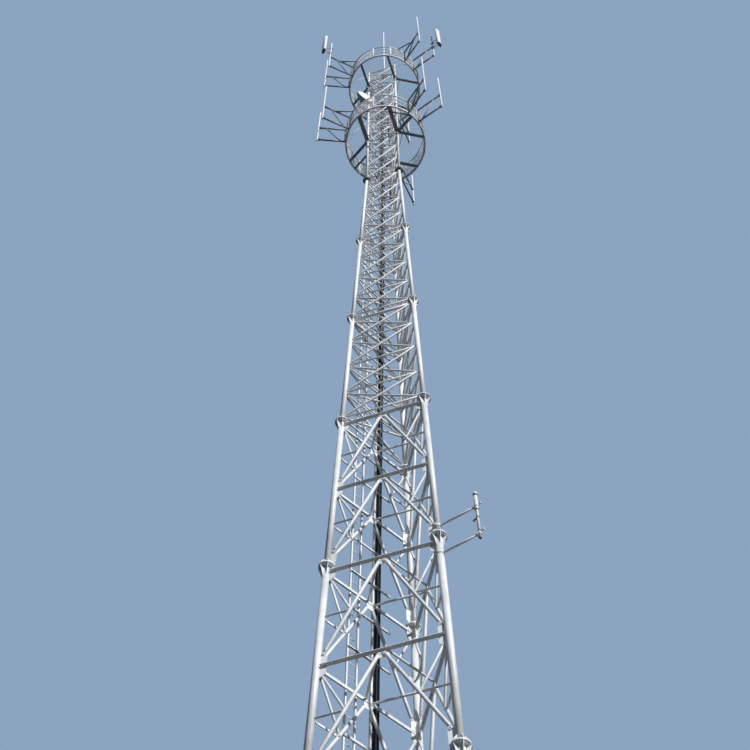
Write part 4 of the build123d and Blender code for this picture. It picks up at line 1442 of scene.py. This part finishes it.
FLOOR_HALF = 60.0
SUN_WAY = Vector((-0.7116, 0.5362, -0.454))
SUN_ENERGY = 4.4
SUN_COLOUR = (1.0, 0.985, 0.96)
SKY_LIGHT = (0.62, 0.72, 0.86, 1.0)
SKY_STRENGTH = 0.22
BACKDROP = (0.26, 0.37, 0.53, 1.0)
CAMERA_PLACE = (2.793, -6.072, 1.077)
CAMERA_AZIMUTH = 108.563
CAMERA_PITCH = 61.68
LENS = 61.18
SENSOR = 36.0
IMAGE_SIZE = 750


def place_facing(name, data, way, location=(0, 0, 0)):
    """Adds a lamp or camera that looks along a direction."""
    obj = bpy.data.objects.new(name, data)
    obj.location = location
    obj.rotation_euler = way.to_track_quat("-Z", "Y").to_euler()
    bpy.context.scene.collection.objects.link(obj)
    return obj


def build_floor():
    """Large pale floor at the tower's foot."""
    mesh = bpy.data.meshes.new("floor")
    size = FLOOR_HALF
    corners = [(-size, -size, 0), (size, -size, 0), (size, size, 0), (-size, size, 0)]
    mesh.from_pydata(corners, [], [(0, 1, 2, 3)])
    mesh.materials.append(studio_floor("studio_floor"))
    floor = bpy.data.objects.new("floor", mesh)
    bpy.context.scene.collection.objects.link(floor)


def build_light():
    """One sun, soft light from all round, and a plain backdrop that only shows."""
    sun = bpy.data.lights.new("key", "SUN")
    sun.energy = SUN_ENERGY
    sun.angle = math.radians(2)
    sun.color = SUN_COLOUR
    place_facing("key", sun, SUN_WAY)
    world = bpy.data.worlds.get("World") or bpy.data.worlds.new("World")
    bpy.context.scene.world = world
    world.use_nodes = True
    tree = world.node_tree
    light = tree.nodes["Background"]
    light.inputs["Color"].default_value = SKY_LIGHT
    light.inputs["Strength"].default_value = SKY_STRENGTH
    backdrop = tree.nodes.new("ShaderNodeBackground")
    backdrop.inputs["Color"].default_value = BACKDROP
    choice = tree.nodes.new("ShaderNodeMixShader")
    tree.links.new(shown_rays(tree), choice.inputs["Fac"])
    tree.links.new(light.outputs["Background"], choice.inputs[1])
    tree.links.new(backdrop.outputs["Background"], choice.inputs[2])
    output = next(node for node in tree.nodes if node.type == "OUTPUT_WORLD")
    tree.links.new(choice.outputs["Shader"], output.inputs["Surface"])


def build_camera():
    """Camera at the photograph's viewing angle, low beside the tower and looking up."""
    lens = bpy.data.cameras.new("camera")
    lens.lens = LENS
    lens.sensor_width = SENSOR
    lens.clip_end = 200.0
    lens.shift_x = -2.46 / IMAGE_SIZE
    lens.shift_y = -0.13 / IMAGE_SIZE
    pitch = math.radians(CAMERA_PITCH)
    way = heading(CAMERA_AZIMUTH) * math.cos(pitch) + UP * math.sin(pitch)
    bpy.context.scene.camera = place_facing("camera", lens, way, CAMERA_PLACE)


# Settings, operators and panel


class TowerSettings(bpy.types.PropertyGroup):
    """Sizes and colours that the builders read."""

    deck_pitch: bpy.props.FloatProperty(
        name="Deck pitch",
        description="Distance between the strands of the decks",
        default=0.042,
        unit="LENGTH",
    )
    guard_pitch: bpy.props.FloatProperty(
        name="Guard pitch",
        description="Distance between the wires of the guard panels",
        default=0.010,
        unit="LENGTH",
    )
    rung_pitch: bpy.props.FloatProperty(
        name="Rung pitch",
        description="Distance between the rungs of the ladder",
        default=0.15,
        unit="LENGTH",
    )
    zinc_dark: bpy.props.FloatVectorProperty(
        name="Dark zinc",
        description="Colour of the weathered parts of the galvanised tubes",
        default=(0.60, 0.615, 0.635),
        subtype="COLOR",
    )
    zinc_light: bpy.props.FloatVectorProperty(
        name="Light zinc",
        description="Colour of the clean parts of the galvanised tubes",
        default=(0.80, 0.81, 0.825),
        subtype="COLOR",
    )


class TOWER_OT_stage(bpy.types.Operator):
    """Build the floor, the lights and the camera"""

    bl_idname = "tower.stage"
    bl_label = "Stage"

    def execute(self, context):
        build_floor()
        build_light()
        build_camera()
        context.scene.view_settings.view_transform = "Standard"
        return {"FINISHED"}


class TOWER_OT_legs(bpy.types.Operator):
    """Build the leg tubes with their flanges"""

    bl_idname = "tower.legs"
    bl_label = "Legs"

    def execute(self, context):
        build_legs()
        return {"FINISHED"}


class TOWER_OT_bracing(bpy.types.Operator):
    """Build the bracing of all faces"""

    bl_idname = "tower.bracing"
    bl_label = "Bracing"

    def execute(self, context):
        build_k_bracing()
        build_x_bracing()
        build_plan()
        return {"FINISHED"}


class TOWER_OT_ladder(bpy.types.Operator):
    """Build the ladder, its beams and the feeder cables"""

    bl_idname = "tower.ladder"
    bl_label = "Ladder and Cables"

    def execute(self, context):
        build_ladder(context.scene.tower.rung_pitch)
        build_cable_run()
        return {"FINISHED"}


class TOWER_OT_platforms(bpy.types.Operator):
    """Build both round platforms with their antenna arms and poles"""

    bl_idname = "tower.platforms"
    bl_label = "Platforms"

    def execute(self, context):
        settings = context.scene.tower
        for label, level in PLATFORMS.items():
            build_deck_frame(label, level)
            build_deck(label, level, settings.deck_pitch)
            build_guard(label, level, settings.guard_pitch)
            build_stays(label, level)
            build_arms(label, level)
        return {"FINISHED"}


class TOWER_OT_antennas(bpy.types.Operator):
    """Build the panel antennas, the dish and the side antenna with their holders"""

    bl_idname = "tower.antennas"
    bl_label = "Antennas"

    def execute(self, context):
        build_panels()
        build_dish()
        build_side_antenna()
        return {"FINISHED"}


class TOWER_OT_head(bpy.types.Operator):
    """Build the frame on the leg heads, the lightning rod and the step pegs"""

    bl_idname = "tower.head"
    bl_label = "Head and Pegs"

    def execute(self, context):
        build_head()
        build_pegs()
        return {"FINISHED"}


class TOWER_PT_panel(bpy.types.Panel):
    """Buttons for the tower's pieces"""

    bl_idname = "TOWER_PT_panel"
    bl_label = "Lattice Tower"
    bl_space_type = "VIEW_3D"
    bl_region_type = "UI"
    bl_category = "Lattice Tower"

    def draw(self, context):
        for operator in OPERATORS:
            self.layout.operator(operator.bl_idname)


OPERATORS = (
    TOWER_OT_stage,
    TOWER_OT_legs,
    TOWER_OT_bracing,
    TOWER_OT_ladder,
    TOWER_OT_platforms,
    TOWER_OT_antennas,
    TOWER_OT_head,
)
CLASSES = (TowerSettings, *OPERATORS, TOWER_PT_panel)


def register():
    """Registers the classes."""
    for cls in CLASSES:
        bpy.utils.register_class(cls)
    bpy.types.Scene.tower = bpy.props.PointerProperty(type=TowerSettings)


def unregister():
    """Takes the classes away again."""
    del bpy.types.Scene.tower
    for cls in reversed(CLASSES):
        bpy.utils.unregister_class(cls)


def main():
    """Builds the whole scene."""
    register()
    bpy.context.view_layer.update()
    bpy.ops.tower.stage()
    bpy.ops.tower.legs()
    bpy.ops.tower.bracing()
    bpy.ops.tower.ladder()
    bpy.ops.tower.platforms()
    bpy.ops.tower.antennas()
    bpy.ops.tower.head()


if __name__ == "__main__":
    main()
